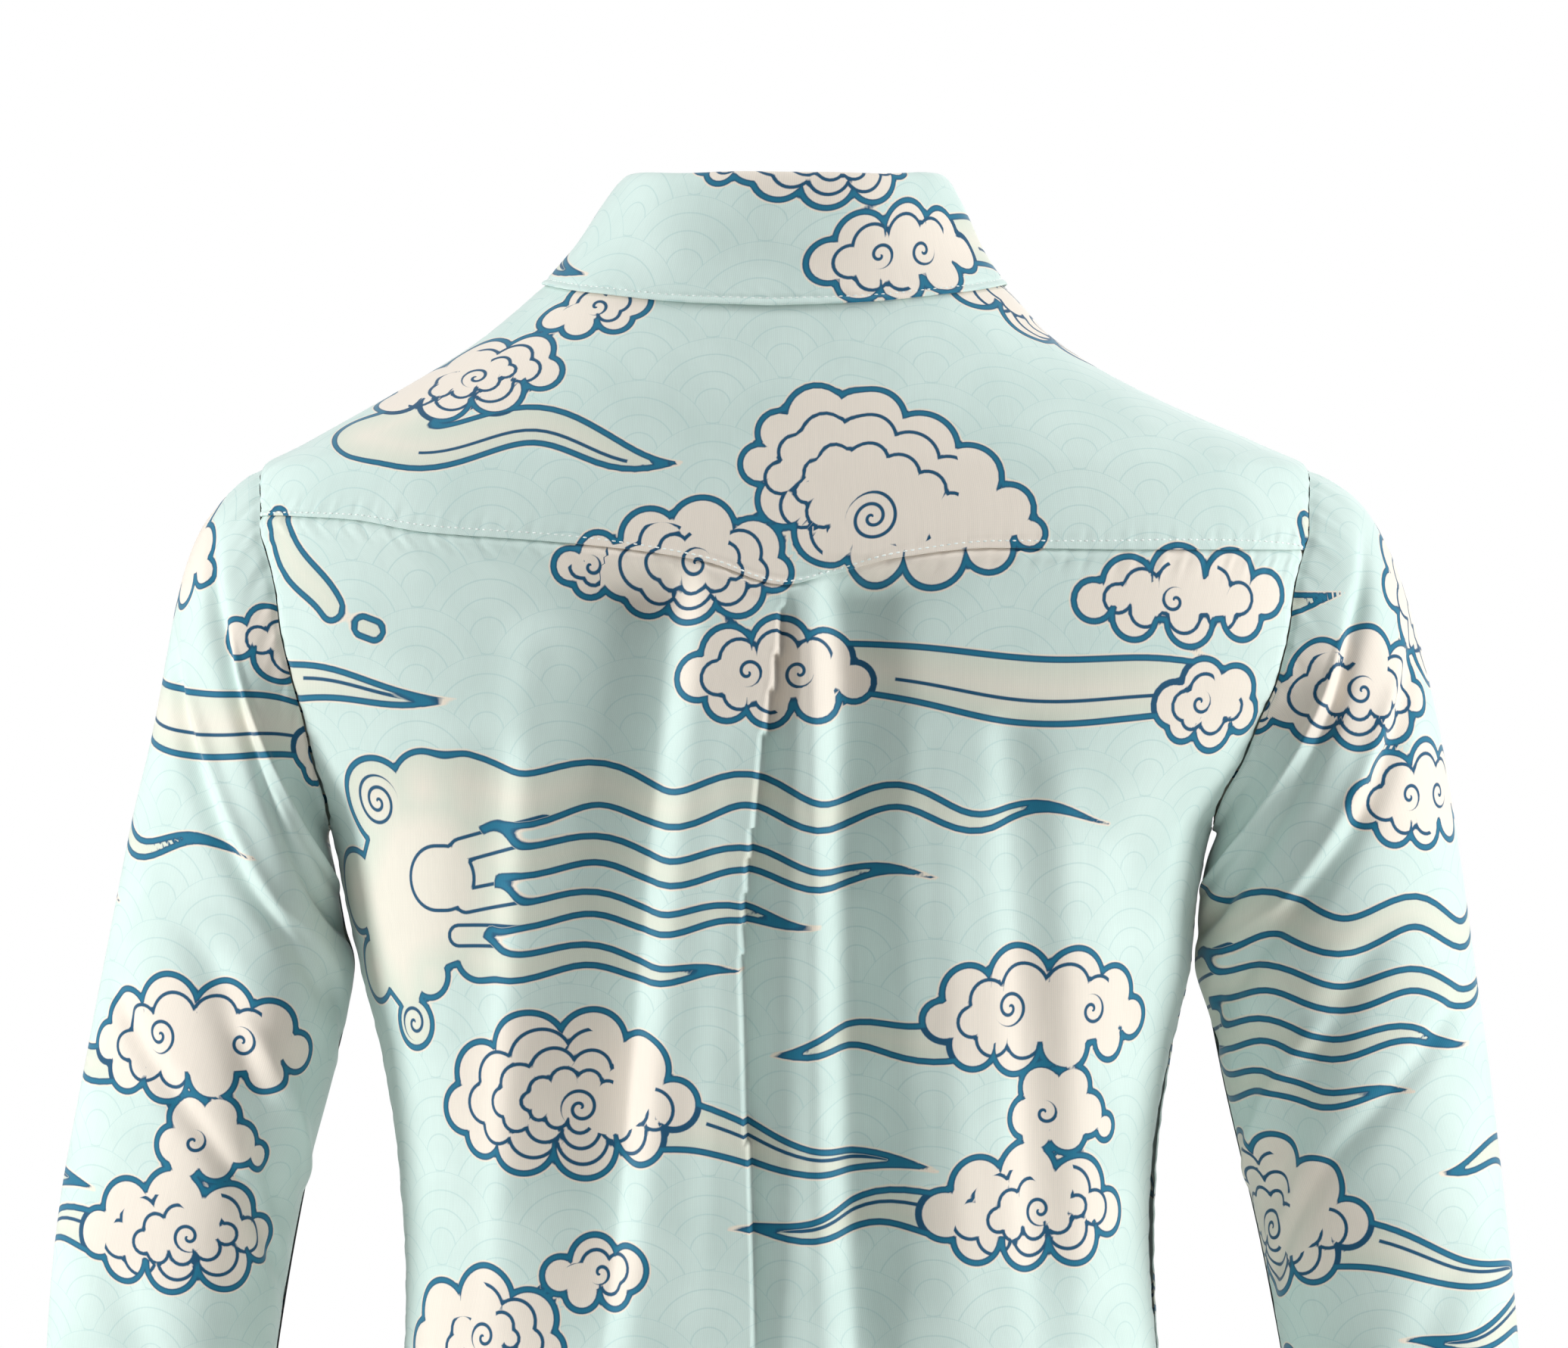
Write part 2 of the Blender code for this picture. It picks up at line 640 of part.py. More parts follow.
def sleeve_points(side):
    stations = sleeve_stations(side)
    rings = range(len(SLEEVE) + 1)
    points = np.array([sleeve_ring(ring, side, stations) for ring in rings])
    lift = np.array([sleeve_fold_lift(ring, stations) for ring in rings])
    points = points + lift[..., None] * tube_facing(points, side)
    away = points[1] - points[0]
    points[0] += SEAM_GAP / 2 * away / np.linalg.norm(away, axis=-1, keepdims=True)
    return points


def add_sleeve(name, side, cloth):
    points = sleeve_points(side)
    inner = points - CLOTH * tube_facing(points, side)
    add_wall(f"sleeve_{name}", points, inner, cloth, closed=True)
    direction = points[-1].mean(axis=0) - points[-2].mean(axis=0)
    direction /= np.linalg.norm(direction)
    drops = (SEAM_GAP, SEAM_GAP + CUFF_HEIGHT / 2, SEAM_GAP + CUFF_HEIGHT)
    cuff = np.array([points[-1] + drop * direction for drop in drops])
    add_wall(f"cuff_{name}", cuff, cuff - CUFF_CLOTH * tube_facing(cuff, side), cloth, closed=True)


# Collar and placket


def stand_stations(side):
    """Angles along one half of the neckline, from the centre back to just past the centre front."""
    around = [neck_corner() * i / NECK_COLUMNS for i in range(NECK_COLUMNS + 1)]
    before = [abs(neck_angle(side * x)) for x in reversed(FRONT_INNER)]
    return [side * angle for angle in around + before + [360 - before[-2]]]


def stand_top(point):
    """The top of the collar stand above a point of the neckline."""
    turn = np.arctan2(point[..., 0], point[..., 1])
    depth = np.where(np.cos(turn) >= 0, STAND_TOP_BACK, STAND_TOP_FRONT)
    height = column(COLLAR, "angle", "top_z", np.degrees(np.abs(turn)))
    return np.stack([STAND_TOP_HALF_WIDTH * np.sin(turn), depth * np.cos(turn), height], axis=-1)


def stand_points():
    """Angles and two rows of points, foot and top, from the right end to the left end over it."""
    angles = np.array(stand_stations(-1)[:0:-1] + stand_stations(1))
    once_round = (angles + 180) % 360 - 180
    foot = smooth_torso(once_round, neck_height(once_round))
    top = stand_top(foot)
    rise = (top - foot) / np.linalg.norm(top - foot, axis=-1, keepdims=True)
    return angles, foot + SEAM_GAP * rise, top


def add_collar_stand(cloth):
    angles, foot, top = stand_points()
    rows = np.array([foot, top])
    out = np.cross(np.gradient(rows, axis=0), np.gradient(rows, axis=1))
    out /= np.linalg.norm(out, axis=-1, keepdims=True)
    reach, laps = neck_angle(FRONT_INNER[2]), neck_angle(PLACKET_HALF_WIDTH)
    over = eased((angles - reach) / (laps - reach)) * LAYER
    outer = rows + over[None, :, None] * out
    add_wall("collar_stand", outer, outer - CLOTH * out, cloth)


def leaf_columns():
    half = [LEAF_EDGE_AT * share for share in LEAF_SHARES]
    return np.array(full_width(half))


def leaf_points():
    """Rows from the stand's top over the fold and down to the leaf's edge on the yoke and the fronts."""
    angles = leaf_columns()
    turn = np.radians(angles)
    depth = np.where(np.cos(turn) >= 0, STAND_TOP_BACK, STAND_TOP_FRONT)
    height = column(COLLAR, "angle", "top_z", np.abs(angles))
    fold = np.stack([STAND_TOP_HALF_WIDTH * np.sin(turn), depth * np.cos(turn), height], axis=-1)
    out = np.stack([np.sin(turn), np.cos(turn), 0 * turn], axis=-1)
    beyond = np.clip((np.abs(angles) - LEAF_SPREAD_FROM) / (LEAF_EDGE_AT - LEAF_SPREAD_FROM), 0, 1)
    reach = np.minimum(np.abs(angles), LEAF_SPREAD_FROM) + beyond * (LEAF_TIP_AT - LEAF_SPREAD_FROM)
    edge_angle = np.sign(angles) * reach
    edge_z = column(COLLAR, "angle", "edge_z", np.abs(angles))
    sine, cosine = np.sin(np.radians(edge_angle)), np.cos(np.radians(edge_angle))
    deep = np.where(cosine >= 0, torso_size("back", edge_z), torso_size("front", edge_z))
    edge_turn = np.arctan2(sine / torso_size("half_width", edge_z), cosine / deep)
    edge = torso_layer(np.degrees(edge_turn), edge_z, LEAF_CLEARANCE + CLOTH)
    rows = [fold + step.out * out + step.up * np.array([0, 0, 1]) for step in LEAF_FOLD]
    start = rows[-1]
    for share, bow in zip(LEAF_FALL, LEAF_BOW):
        point = start + (edge - start) * share
        rows.append(point + bow * out)
    return np.array(rows)


def add_collar_leaf(cloth):
    outer = leaf_points()
    out = np.cross(np.gradient(outer, axis=0), np.gradient(outer, axis=1))
    out /= -np.linalg.norm(out, axis=-1, keepdims=True)
    add_wall("collar_leaf", outer, outer - CLOTH * out, cloth)


def placket_rows(angles, heights):
    """Heights of the front's rows along the slit, at its edge and at the centre line."""
    middle = angles.shape[1] // 2
    return heights[: FRONT_STATIONS + 1, middle + 1], heights[: FRONT_STATIONS + 1, middle]


def strip(name, half_width, edge_z, centre_z, out, cloth):
    xs = np.array([-half_width, 0, half_width])
    z = np.stack([edge_z, centre_z, edge_z], axis=1)
    angle = from_back(angle_at(np.broadcast_to(xs, z.shape), z, False))
    outer = torso_layer(angle, z, out)
    add_wall(name, outer, outer - CLOTH * facing(torso, angle, z), cloth)


def add_placket(angles, heights, cloth):
    edge_z, centre_z = placket_rows(angles, heights)
    under_edge, under_centre = edge_z.copy(), centre_z.copy()
    under_edge[-1] += SEAM_GAP
    under_centre[-1] += SEAM_GAP
    strip("placket_under", PLACKET_HALF_WIDTH - SEAM_GAP, under_edge, under_centre, 0, cloth)
    over_edge, over_centre = edge_z.copy(), centre_z.copy()
    for ends in (over_edge, over_centre):
        ends[0] -= PLACKET_HEAD
        ends[-1] -= PLACKET_FOOT
    width = PLACKET_HALF_WIDTH + PLACKET_COVER
    strip("placket_over", width, over_edge, over_centre, LAYER, cloth)


def add_button(name, centre, out, material):
    radius, height = BUTTON_RADIUS * MM, BUTTON_HEIGHT * MM
    bm = bmesh.new()
    bmesh.ops.create_cone(
        bm, cap_ends=True, segments=BUTTON_SIDES, radius1=radius, radius2=radius, depth=height
    )
    rims = [edge for edge in bm.edges if abs(edge.verts[0].co.z - edge.verts[1].co.z) < height / 2]
    bmesh.ops.bevel(
        bm, geom=rims, affect="EDGES", offset=BUTTON_EDGE * MM, segments=1, profile=0.5, material=-1
    )
    placed = add_object(name, bm, material)
    placed.location = Vector(centre + (SEAM_GAP + BUTTON_HEIGHT / 2) * out) * MM
    placed.rotation_euler = Vector(out).to_track_quat("Z", "Y").to_euler()


def add_buttons(material):
    foot = smooth_torso(np.array(180.0), neck_height(180.0))
    top = stand_top(foot)
    share = (COLLAR_BUTTON_Z - foot[2]) / (top[2] - foot[2])
    out = np.cross(np.array([1.0, 0, 0]), top - foot)
    out /= np.linalg.norm(out)
    add_button("button_collar", foot + (top - foot) * share + LAYER * out, out, material)
    for number, z in enumerate(PLACKET_BUTTONS_Z, 1):
        out = facing(torso, np.array(180.0), np.array(z))
        spot = torso_layer(np.array(180.0), np.array(z), LAYER)
        add_button(f"button_placket_{number}", spot, out, material)


# The whole shirt


def clear_scene():
    for thing in list(bpy.data.objects):
        bpy.data.objects.remove(thing)


def add_body(cloth):
    add_panel("back", *back_grid(), cloth)
    add_panel("yoke", *yoke_grid(), cloth)
    angles, heights = front_grid()
    middle = angles.shape[1] // 2

    def outside_slit(row, col):
        return row >= FRONT_STATIONS or col not in (middle - 1, middle)

    add_panel("front", angles, heights, cloth, keeps=outside_slit)
    add_placket(angles, heights, cloth)


def main():
    clear_scene()
    cloth = make_material("printed_cloth", (0.62, 0.76, 0.72), 0.75)
    button = make_material("button", (0.83, 0.85, 0.8), 0.3)
    add_body(cloth)
    add_collar_stand(cloth)
    add_collar_leaf(cloth)
    add_sleeve("left", 1, cloth)
    add_sleeve("right", -1, cloth)
    add_buttons(button)


main()
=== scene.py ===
import math

import bmesh
import bpy
import numpy as np
from mathutils import Matrix, Vector


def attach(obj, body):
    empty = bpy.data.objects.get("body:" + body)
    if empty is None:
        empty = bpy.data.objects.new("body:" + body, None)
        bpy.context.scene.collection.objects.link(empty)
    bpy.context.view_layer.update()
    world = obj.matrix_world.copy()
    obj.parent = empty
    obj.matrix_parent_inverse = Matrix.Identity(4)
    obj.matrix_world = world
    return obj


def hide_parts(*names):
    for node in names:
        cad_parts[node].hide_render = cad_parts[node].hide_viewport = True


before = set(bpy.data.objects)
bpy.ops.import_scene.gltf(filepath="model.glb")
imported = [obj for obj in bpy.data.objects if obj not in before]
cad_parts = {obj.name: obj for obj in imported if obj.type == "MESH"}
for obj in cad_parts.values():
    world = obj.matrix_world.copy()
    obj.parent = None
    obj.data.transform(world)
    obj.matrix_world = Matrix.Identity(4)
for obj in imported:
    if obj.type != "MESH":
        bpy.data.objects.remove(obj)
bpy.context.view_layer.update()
mm = 0.001  # every size below is in millimetres

# The form of the shirt: horizontal sections from the hem up
torso = {
    "z": [-740, -680, -620, -560, -500, -440, -394, -345, -309, -275, -247, -235, -218, -201,
          -180, -154, -122, -105, -90, -78, -60, -43, -30, -20, -10, 0, 12],
    "halfWidth": [183, 181.5, 178, 172, 166.5, 164, 166, 173, 181.5, 187, 193, 200, 214, 225,
                  237, 244, 244, 238, 229.5, 207, 170.5, 140, 121.5, 111, 100.5, 85.5, 68],
    "shift": [0, 0, 0, 0, 1, 2, 3, 3.5, 4, 6, 6, 5, 3, 1.5,
              0, 0, 0, 0, 0, 1.5, 6, 7.6, 7.3, 5.7, 4.6, 3, 2],
    "back": [111, 110, 107, 102, 97, 95, 98, 104, 108, 111, 112.5, 113, 113, 112.5,
             111.5, 109, 104, 100.5, 97, 93.5, 88, 81.5, 76, 71.5, 67, 62.5, 56],
    "front": [116, 116, 115, 112, 109, 108, 112, 119, 124, 125, 125, 124.5, 123, 121,
              117, 111, 100, 92, 84, 77, 66, 55, 46, 39, 34, 30, 22],
    "square": [2.15, 2.15, 2.15, 2.15, 2.15, 2.15, 2.15, 2.2, 2.2, 2.2, 2.2, 2.2, 2.2, 2.2,
               2.2, 2.15, 2.1, 2.05, 2.0, 2.0, 2.0, 2.0, 2.0, 2.0, 2.0, 2.0, 2.0],
}
neck = {
    "angle": [0, 45, 90, 112, 139, 156, 168, 180],
    "z": [2, 3.5, 6, 3, -15, -40, -60, -70],
    "seamForward": 24,
}
armholeShape = {"midZ": -168.5, "halfHeight": 78.5, "backSwing": 28, "frontSwing": 33, "frontSeam": -28}
yokeSeam = {
    "x": [-230, -150, -89, -50, -20, 0, 34, 64, 103, 156, 190, 223],
    "z": [-125.4, -125.6, -125, -129, -136, -141, -131, -126, -122, -118, -112.5, -110.5],
}

# Soft folds of the body: x and z at the top, x and z at the foot, how wide they are to the left and
# to the right of that line, and how far they stand out
bodyFolds = {
    "fade": 18,
    "back": [
        (49, -128, 80, -450, 34, 10, -16),
        (104, -150, 126, -400, 13, 12, 3.5),
        (122, -200, 137, -450, 16, 9, -3.5),
        (20, -190, 32, -450, 9, 9, 2),
        (-26, -128, -34, -480, 10, 24, -16.5),
        (-48, -128, -54, -225, 14, 22, -6),
        (-64, -190, -74, -450, 9, 12, 2.5),
        (-13, -150, -15, -450, 7, 7, 2),
        (-97, -190, -112, -450, 10, 15, -5),
        (-118, -210, -128, -450, 8, 9, 1.5),
        (-152, -240, -158, -450, 14, 14, -3),
    ],
    "front": [
        (74, -150, 92, -470, 22, 14, -7),
        (-66, -160, -84, -500, 14, 22, -7),
        (112, -190, 122, -520, 18, 14, 3.5),
        (-106, -170, -112, -450, 14, 18, 3.5),
        (36, -290, 44, -560, 12, 18, -3.5),
        (-30, -300, -36, -600, 18, 12, -3.5),
    ],
}


def through(xs, ys, x):  # the smooth curve through a table's rows, which never swings past them
    xs, ys = np.asarray(xs, float), np.asarray(ys, float)
    more = (1,) * (ys.ndim - 1)
    step = np.diff(xs)
    slope = np.diff(ys, axis=0) / step.reshape((-1,) + more)
    tangent = np.concatenate([slope[:1], np.zeros_like(slope[1:]), slope[-1:]])
    product, total = slope[:-1] * slope[1:], slope[:-1] + slope[1:]
    tangent[1:-1] = np.where(product > 0, 2 * product / np.where(total == 0, 1, total), 0)
    x = np.clip(np.asarray(x, float), xs[0], xs[-1])
    i = np.clip(np.searchsorted(xs, x, side="right") - 1, 0, len(xs) - 2)
    t = ((x - xs[i]) / step[i]).reshape(x.shape + more)
    width = step[i].reshape(x.shape + more)
    near = (1 + 2 * t) * (1 - t) ** 2 * ys[i] + t * (1 - t) ** 2 * width * tangent[i]
    far = t * t * (3 - 2 * t) * ys[i + 1] + t * t * (t - 1) * width * tangent[i + 1]
    return near + far


def stacked(*values):
    return np.stack(values, axis=-1)


def torsoSize(name, z):
    return through(torso["z"], torso[name], z)


def eased(t):
    t = np.clip(t, 0, 1)
    return t * t * (3 - 2 * t)


def ripple(x, seed, length=11.0):  # an uneven wave of about this length, from -1 to 1
    x = np.asarray(x, float) * 2 * math.pi / length
    return (np.sin(x + seed) + 0.7 * np.sin(1.73 * x + 2.1 * seed) + 0.5 * np.sin(0.61 * x - seed)) / 2.2


# Angles run round the torso: 0 at the centre back, 90 at the left side, 180 at the centre front
def sideways(z, depthShare):
    return torsoSize("shift", z) * (1 + np.minimum(depthShare, 0))


def smoothTorso(angle, z):
    turn = np.radians(angle)
    sine, cosine = np.sin(turn), np.cos(turn)
    square = torsoSize("square", z)
    swell = (np.abs(sine) ** square + np.abs(cosine) ** square) ** (-1 / square)
    depth = np.where(cosine >= 0, torsoSize("back", z), torsoSize("front", z))
    x = sideways(z, cosine * swell) + torsoSize("halfWidth", z) * sine * swell
    return stacked(x, depth * cosine * swell, z + 0 * x)


def facing(surface, angle, z):  # the direction out of the torso
    around = surface(angle + 0.2, z) - surface(angle - 0.2, z)
    up = surface(angle, z + 0.5) - surface(angle, z - 0.5)
    out = np.cross(up, around)
    return out / np.linalg.norm(out, axis=-1, keepdims=True)


def foldLift(point, isBack):
    lift = np.zeros(point.shape[:-1])
    for face, onFace in (("back", isBack), ("front", ~isBack)):
        for xTop, zTop, xFoot, zFoot, toLeft, toRight, out in bodyFolds[face]:
            along = (zTop - point[..., 2]) / (zTop - zFoot)
            middle = xTop + (xFoot - xTop) * np.clip(along, 0, 1.3)
            fade = bodyFolds["fade"] / (zTop - zFoot)
            strength = eased(along / fade) * eased((1.3 - along) / 0.5)
            across = point[..., 0] - middle
            across = across / np.where(across > 0, toLeft, toRight)
            lift = lift + np.where(onFace, out * strength * np.exp(-across * across), 0)
    return lift


# The open pleat: a soft slope in from the right, and the left layer's edge over it
pleat = {
    "x": [14, 18.5, 17, 13.2, 10.3, 7.3, 4.5, 0],
    "z": [-430, -300, -274, -240, -215, -195, -180, -142],
    "right": -8, "rightShift": 4, "shiftFrom": (-142, 60), "opensFrom": (-139, 28), "endsAt": (-600, 220),
    "depth": 10, "over": 2.8, "reach": 16,
}


def pleatLift(point, isBack):
    z = point[..., 2]
    edge = through(pleat["z"], pleat["x"], z)
    (shiftZ, shiftSpan), (openZ, openSpan), (endZ, endSpan) = (
        pleat[key] for key in ("shiftFrom", "opensFrom", "endsAt"))
    right = pleat["right"] - pleat["rightShift"] * eased((shiftZ - z) / shiftSpan)
    opened = eased((openZ - z) / openSpan) * eased((z - endZ) / endSpan)
    inside = np.clip((point[..., 0] - right) / np.maximum(edge - right, 0.5), 0, 1)
    recess = -pleat["depth"] * inside**1.4 * (point[..., 0] < edge)
    beyond = point[..., 0] - edge
    layer = pleat["over"] * np.exp(-np.abs(beyond - 2) / pleat["reach"]) * (beyond >= 0)
    return np.where(isBack, (recess + layer) * opened, 0)


def torsoPoint(angle, z):
    angle, z = np.broadcast_arrays(np.asarray(angle, float), np.asarray(z, float))
    point = smoothTorso(angle, z)
    isBack = np.cos(np.radians(angle)) >= 0
    lift = foldLift(point, isBack) + pleatLift(point, isBack)
    return point + lift[..., None] * facing(smoothTorso, angle, z)


def onTorso(x, y):  # the angle and height of the upper torso's point that is above x, y in plan
    x, y = np.broadcast_arrays(np.asarray(x, float), np.asarray(y, float))
    low, high = np.full(x.shape, -200.0), np.full(x.shape, 12.0)
    for _ in range(30):
        z = (low + high) / 2
        depth = np.where(y >= 0, torsoSize("back", z), torsoSize("front", z))
        across = (x - sideways(z, y / depth)) / torsoSize("halfWidth", z)
        square = torsoSize("square", z)
        outside = np.abs(across) ** square + (np.abs(y) / depth) ** square > 1
        low, high = np.where(outside, low, z), np.where(outside, z, high)
    return np.degrees(np.arctan2(across, y / depth)), z


def angleAt(x, z, isBack):  # the angle of the torso's point with this x on one face
    square, sign = torsoSize("square", z), 1 if isBack else -1
    deep = sign * np.ones_like(np.asarray(z, float))
    for _ in range(8):
        across = np.clip((x - sideways(z, deep)) / torsoSize("halfWidth", z), -1, 1)
        deep = (1 - np.abs(across) ** square) ** (1 / square) * sign
    return np.degrees(np.arctan2(across, deep))


def neckHeight(angle):
    return through(neck["angle"], neck["z"], np.abs(angle))


def armhole(station, side):  # 0 is the armhole's top, 180 the underarm, and the front's are negative
    turn = np.radians(station)
    swing = np.where(np.asarray(station) >= 0, armholeShape["backSwing"], armholeShape["frontSwing"])
    z = armholeShape["midZ"] + armholeShape["halfHeight"] * np.cos(turn)
    return side * (90 - swing * np.sin(turn)), z


def seamStation(side):  # where the seam of the yoke and the back ends on the armhole
    z = yokeSeam["z"][-1 if side > 0 else 0]
    return math.degrees(math.acos((z - armholeShape["midZ"]) / armholeShape["halfHeight"]))


# The print, a traditional one of clouds over waves, drawn flat in millimetres before it is laid on
# the panels. x runs to the right and y up as seen from outside, and it repeats in both directions.
printRepeat = {"width": 480.0, "height": 430.0, "tip": 1.8, "tipFade": 0.9, "tipLine": 0.3, "outside": -60.0}

# A cloud's lobes are x, y, radius in order round its place. Its inner rows are smaller copies about
# the heart, and an opening winds through them. A curl is x, y, radius, turn and hand.
clouds = [
    {"at": (46, -100), "heart": (-6, -12), "rows": (0.8, 0.58), "turn": 2, "open": (195, 130),
     "curls": [(-7, -11, 12, 40, 1)],
     "lobes": [(-57, 12, 9), (-48, 26, 10), (-31, 33, 15), (-9, 32, 17), (14, 19, 17), (35, 6, 15),
               (53, -8, 11), (62, -19, 7), (44, -25, 11), (20, -28, 14), (-5, -27, 13), (-28, -18, 14),
               (-46, -4, 12)]},
    {"at": (-41, -130), "heart": (1, -2), "rows": (0.76, 0.5), "turn": -2, "open": (20, 80),
     "curls": [(1, -2, 7, 200, -1)],
     "lobes": [(-31, -4, 12), (-19, 9, 13), (4, 12, 15), (27, 5, 13), (36, -6, 8), (20, -13, 12),
               (-1, -15, 12), (-21, -12, 11)]},
    {"at": (-86, -132), "heart": (2, 0), "rows": (0.62,), "turn": 6, "open": (90, 120),
     "curls": [(0, -1, 4.6, 90, 1)],
     "lobes": [(-9, -1, 7.5), (3, 5, 8.5), (10, -2, 7), (-1, -7, 7)]},
    {"at": (-5, -179), "heart": (0, 0), "rows": (0.74,), "turn": 2, "open": (260, 70),
     "curls": [(-11, 0, 6.4, 20, -1), (11, 0, 6.8, 210, 1)],
     "lobes": [(-33, -2, 10), (-20, 8, 12), (3, 11, 13), (24, 7, 12), (36, -3, 9), (19, -11, 10),
               (-2, -13, 10), (-20, -11, 10)]},
    {"at": (178, -146), "heart": (-6, -2), "rows": (0.7,), "turn": -2, "open": (0, 90),
     "curls": [(-5, -2, 6, 160, -1)],
     "lobes": [(-42, -2, 9), (-26, 5, 12), (-3, 9, 13), (22, 8, 12), (40, 1, 10), (28, -9, 10),
               (2, -11, 11), (-24, -9, 10)]},
    {"at": (190, -192), "heart": (0, 0), "rows": (0.66,), "turn": 4, "open": (0, 90),
     "curls": [(-4, 0, 5.4, 0, 1)],
     "lobes": [(-17, -1, 10), (-3, 8, 11), (13, 5, 11), (20, -5, 8), (4, -11, 10), (-12, -9, 8)]},
    {"at": (-97, -362), "heart": (4, -6), "rows": (0.8, 0.59, 0.38), "turn": -3, "open": (300, 80),
     "curls": [(4, -7, 8.5, 320, 1)],
     "lobes": [(-50, -6, 11), (-40, 9, 14), (-17, 20, 16), (10, 21, 15), (33, 12, 14), (49, -3, 11),
               (32, -17, 13), (6, -23, 14), (-20, -21, 13), (-40, -17, 10)]},
    {"at": (117, -327), "heart": (0, 1), "rows": (0.74,), "turn": 2, "open": (250, 60),
     "curls": [(-17, 3, 8.4, 120, -1), (22, 2, 7, 300, 1)],
     "lobes": [(-48, -2, 9), (-37, 10, 12), (-13, 15, 15), (14, 15, 14), (35, 9, 12), (48, -2, 9),
               (33, -11, 9), (9, -13, 11), (-14, -14, 12), (-35, -12, 11)]},
    {"at": (122, -368), "heart": (0, 0), "rows": (), "turn": 0, "open": (0, 0),
     "curls": [(-4, -2, 5.4, 30, 1)],
     "lobes": [(-13, -4, 9), (-6, 9, 10), (8, 10, 9), (16, -2, 10), (27, -8, 6), (6, -10, 9),
               (-8, -11, 8)]},
    {"at": (-140, -34), "heart": (2, -3), "rows": (0.74, 0.46), "turn": 4, "open": (60, 80),
     "curls": [(2, -3, 7, 80, 1)],
     "lobes": [(-34, -8, 12), (-23, 7, 14), (2, 13, 15), (24, 5, 13), (32, -8, 9), (12, -16, 12),
               (-12, -17, 12)]},
    {"at": (-84, -9), "heart": (0, 0), "rows": (0.62,), "turn": 5, "open": (180, 110),
     "curls": [(0, 0, 5, 260, -1)],
     "lobes": [(-18, -1, 8), (-3, 5, 11), (14, 2, 10), (8, -7, 8), (-8, -8, 8)]},
    {"at": (112, -410), "heart": (4, -2), "rows": (0.76, 0.48), "turn": 4, "open": (20, 80),
     "curls": [(4, -2, 7, 150, 1)],
     "lobes": [(-42, -3, 11), (-27, 9, 13), (-3, 13, 15), (22, 8, 14), (39, -3, 10), (20, -13, 12),
               (-4, -15, 12), (-28, -13, 11)]},
]

# Mist: grey-green bodies, and the trails that leave them. A body's marks are round-ended loops inside
# it, given by their two ends and half width.
mistBodies = [
    {"at": (-165, -266), "curls": [(-22, 31, 12, 150, -1), (-9, -65, 8, 30, 1)],
     "lobes": [(-22, 31, 19), (4, 37, 16), (24, 30, 12), (36, 10, 9), (38, -14, 9), (26, -36, 9),
               (2, -44, 10), (-9, -65, 11), (-36, -42, 14), (-46, -8, 18)],
     "marks": [(8, -2, 12, -2, 14), (20, 10, 60, 20, 5), (22, -12, 60, -5, 5), (18, -27, 52, -27, 4.5)]},
]
# A trail's two ends, how far it swings, its waves and their phase, its half widths from end to end, and
# where its inner line lies, as a share of the half width
trails = [
    ((-142, -229), (146, -242), 5.5, 4.3, 2.4, (13, 8.5, 6, 4, -1.2), 0),
    ((-130, -257), (66, -268), 4.5, 2.9, 3.7, (6.5, 5.6, 5, 3.6, -1.2), 0),
    ((-130, -281), (16, -287), 4, 2.2, 3.9, (5.5, 5, 4.4, 3, -1.2), 0),
    ((-136, -303), (-18, -309), 3.5, 1.8, 3.4, (7, 5, 4, 2.8, -1.2), 0),
    ((-189, -159), (-183, -161), 0, 0, 0, (4.2, 4.2), 0),
    ((12, -177), (200, -189), 4, 1.1, 1.2, (10, 12, 14, 13, 9), -0.3),
    ((-192, -68), (-46, -84), -8, 1.3, 0.2, (14, 11, 9, 7, -1.2), -0.3),
    ((-152, -42), (-188, -68), 3, 0.5, 0.2, (9, 11, 13), 0),
    ((-240, -184), (-144, -190), 3, 0.8, 0.3, (8, 7, 5, 2.6, -1.2), 0.2),
    ((-236, -112), (-206, -152), -4, 0.6, 0.3, (5, 7, 5.5), 0),
    ((100, -410), (-24, -420), 4, 1.6, 0.3, (10, 9, 6, 3.4, -1.2), -0.3),
    ((-60, -374), (66, -396), 4, 1.2, 0.6, (12, 9, 6, 3.4, -1.2), 0.3),
    ((74, -336), (-6, -343), 3, 1.2, 0.6, (9, 7, 5, 3, -1.2), 0),
]


def localTo(u, v, place):  # x and y from a place of the print, by way of the nearest repeat
    width, height = printRepeat["width"], printRepeat["height"]
    return ((u - place[0] + width / 2) % width - width / 2,
            (v - place[1] + height / 2) % height - height / 2)


def alongLine(x, y, ax, ay, bx, by):  # share of the way from a to b, distance, and distance to one side
    spanX, spanY = bx - ax, by - ay
    length = max(math.hypot(spanX, spanY), 1e-6)
    share = np.clip(((x - ax) * spanX + (y - ay) * spanY) / length**2, 0, 1)
    dx, dy = x - ax - share * spanX, y - ay - share * spanY
    return share, np.hypot(dx, dy), ((y - ay) * spanX - (x - ax) * spanY) / length


def lobeField(x, y, lobes, heart=(0, 0), size=1.0, turn=0.0):  # how deep a point is inside a ring of lobes
    turn = math.radians(turn)
    ring = np.array(lobes, float)
    away = (ring[:, :2] - heart) * size
    centres = heart + away @ np.array([[math.cos(turn), math.sin(turn)], [-math.sin(turn), math.cos(turn)]])
    field, edge = (np.full(x.shape, value) for value in (printRepeat["outside"], 1e9))
    inner = np.zeros(x.shape, bool)
    for (ax, ay), (bx, by), radius in zip(centres, np.roll(centres, -1, axis=0), ring[:, 2] * size):
        field = np.maximum(field, radius - np.hypot(x - ax, y - ay))
        edge = np.minimum(edge, alongLine(x, y, ax, ay, bx, by)[1])
        inner ^= ((ay > y) != (by > y)) & (x < (bx - ax) * (y - ay) / (by - ay + 1e-12) + ax)
    return np.maximum(field, np.where(inner, edge, -edge))


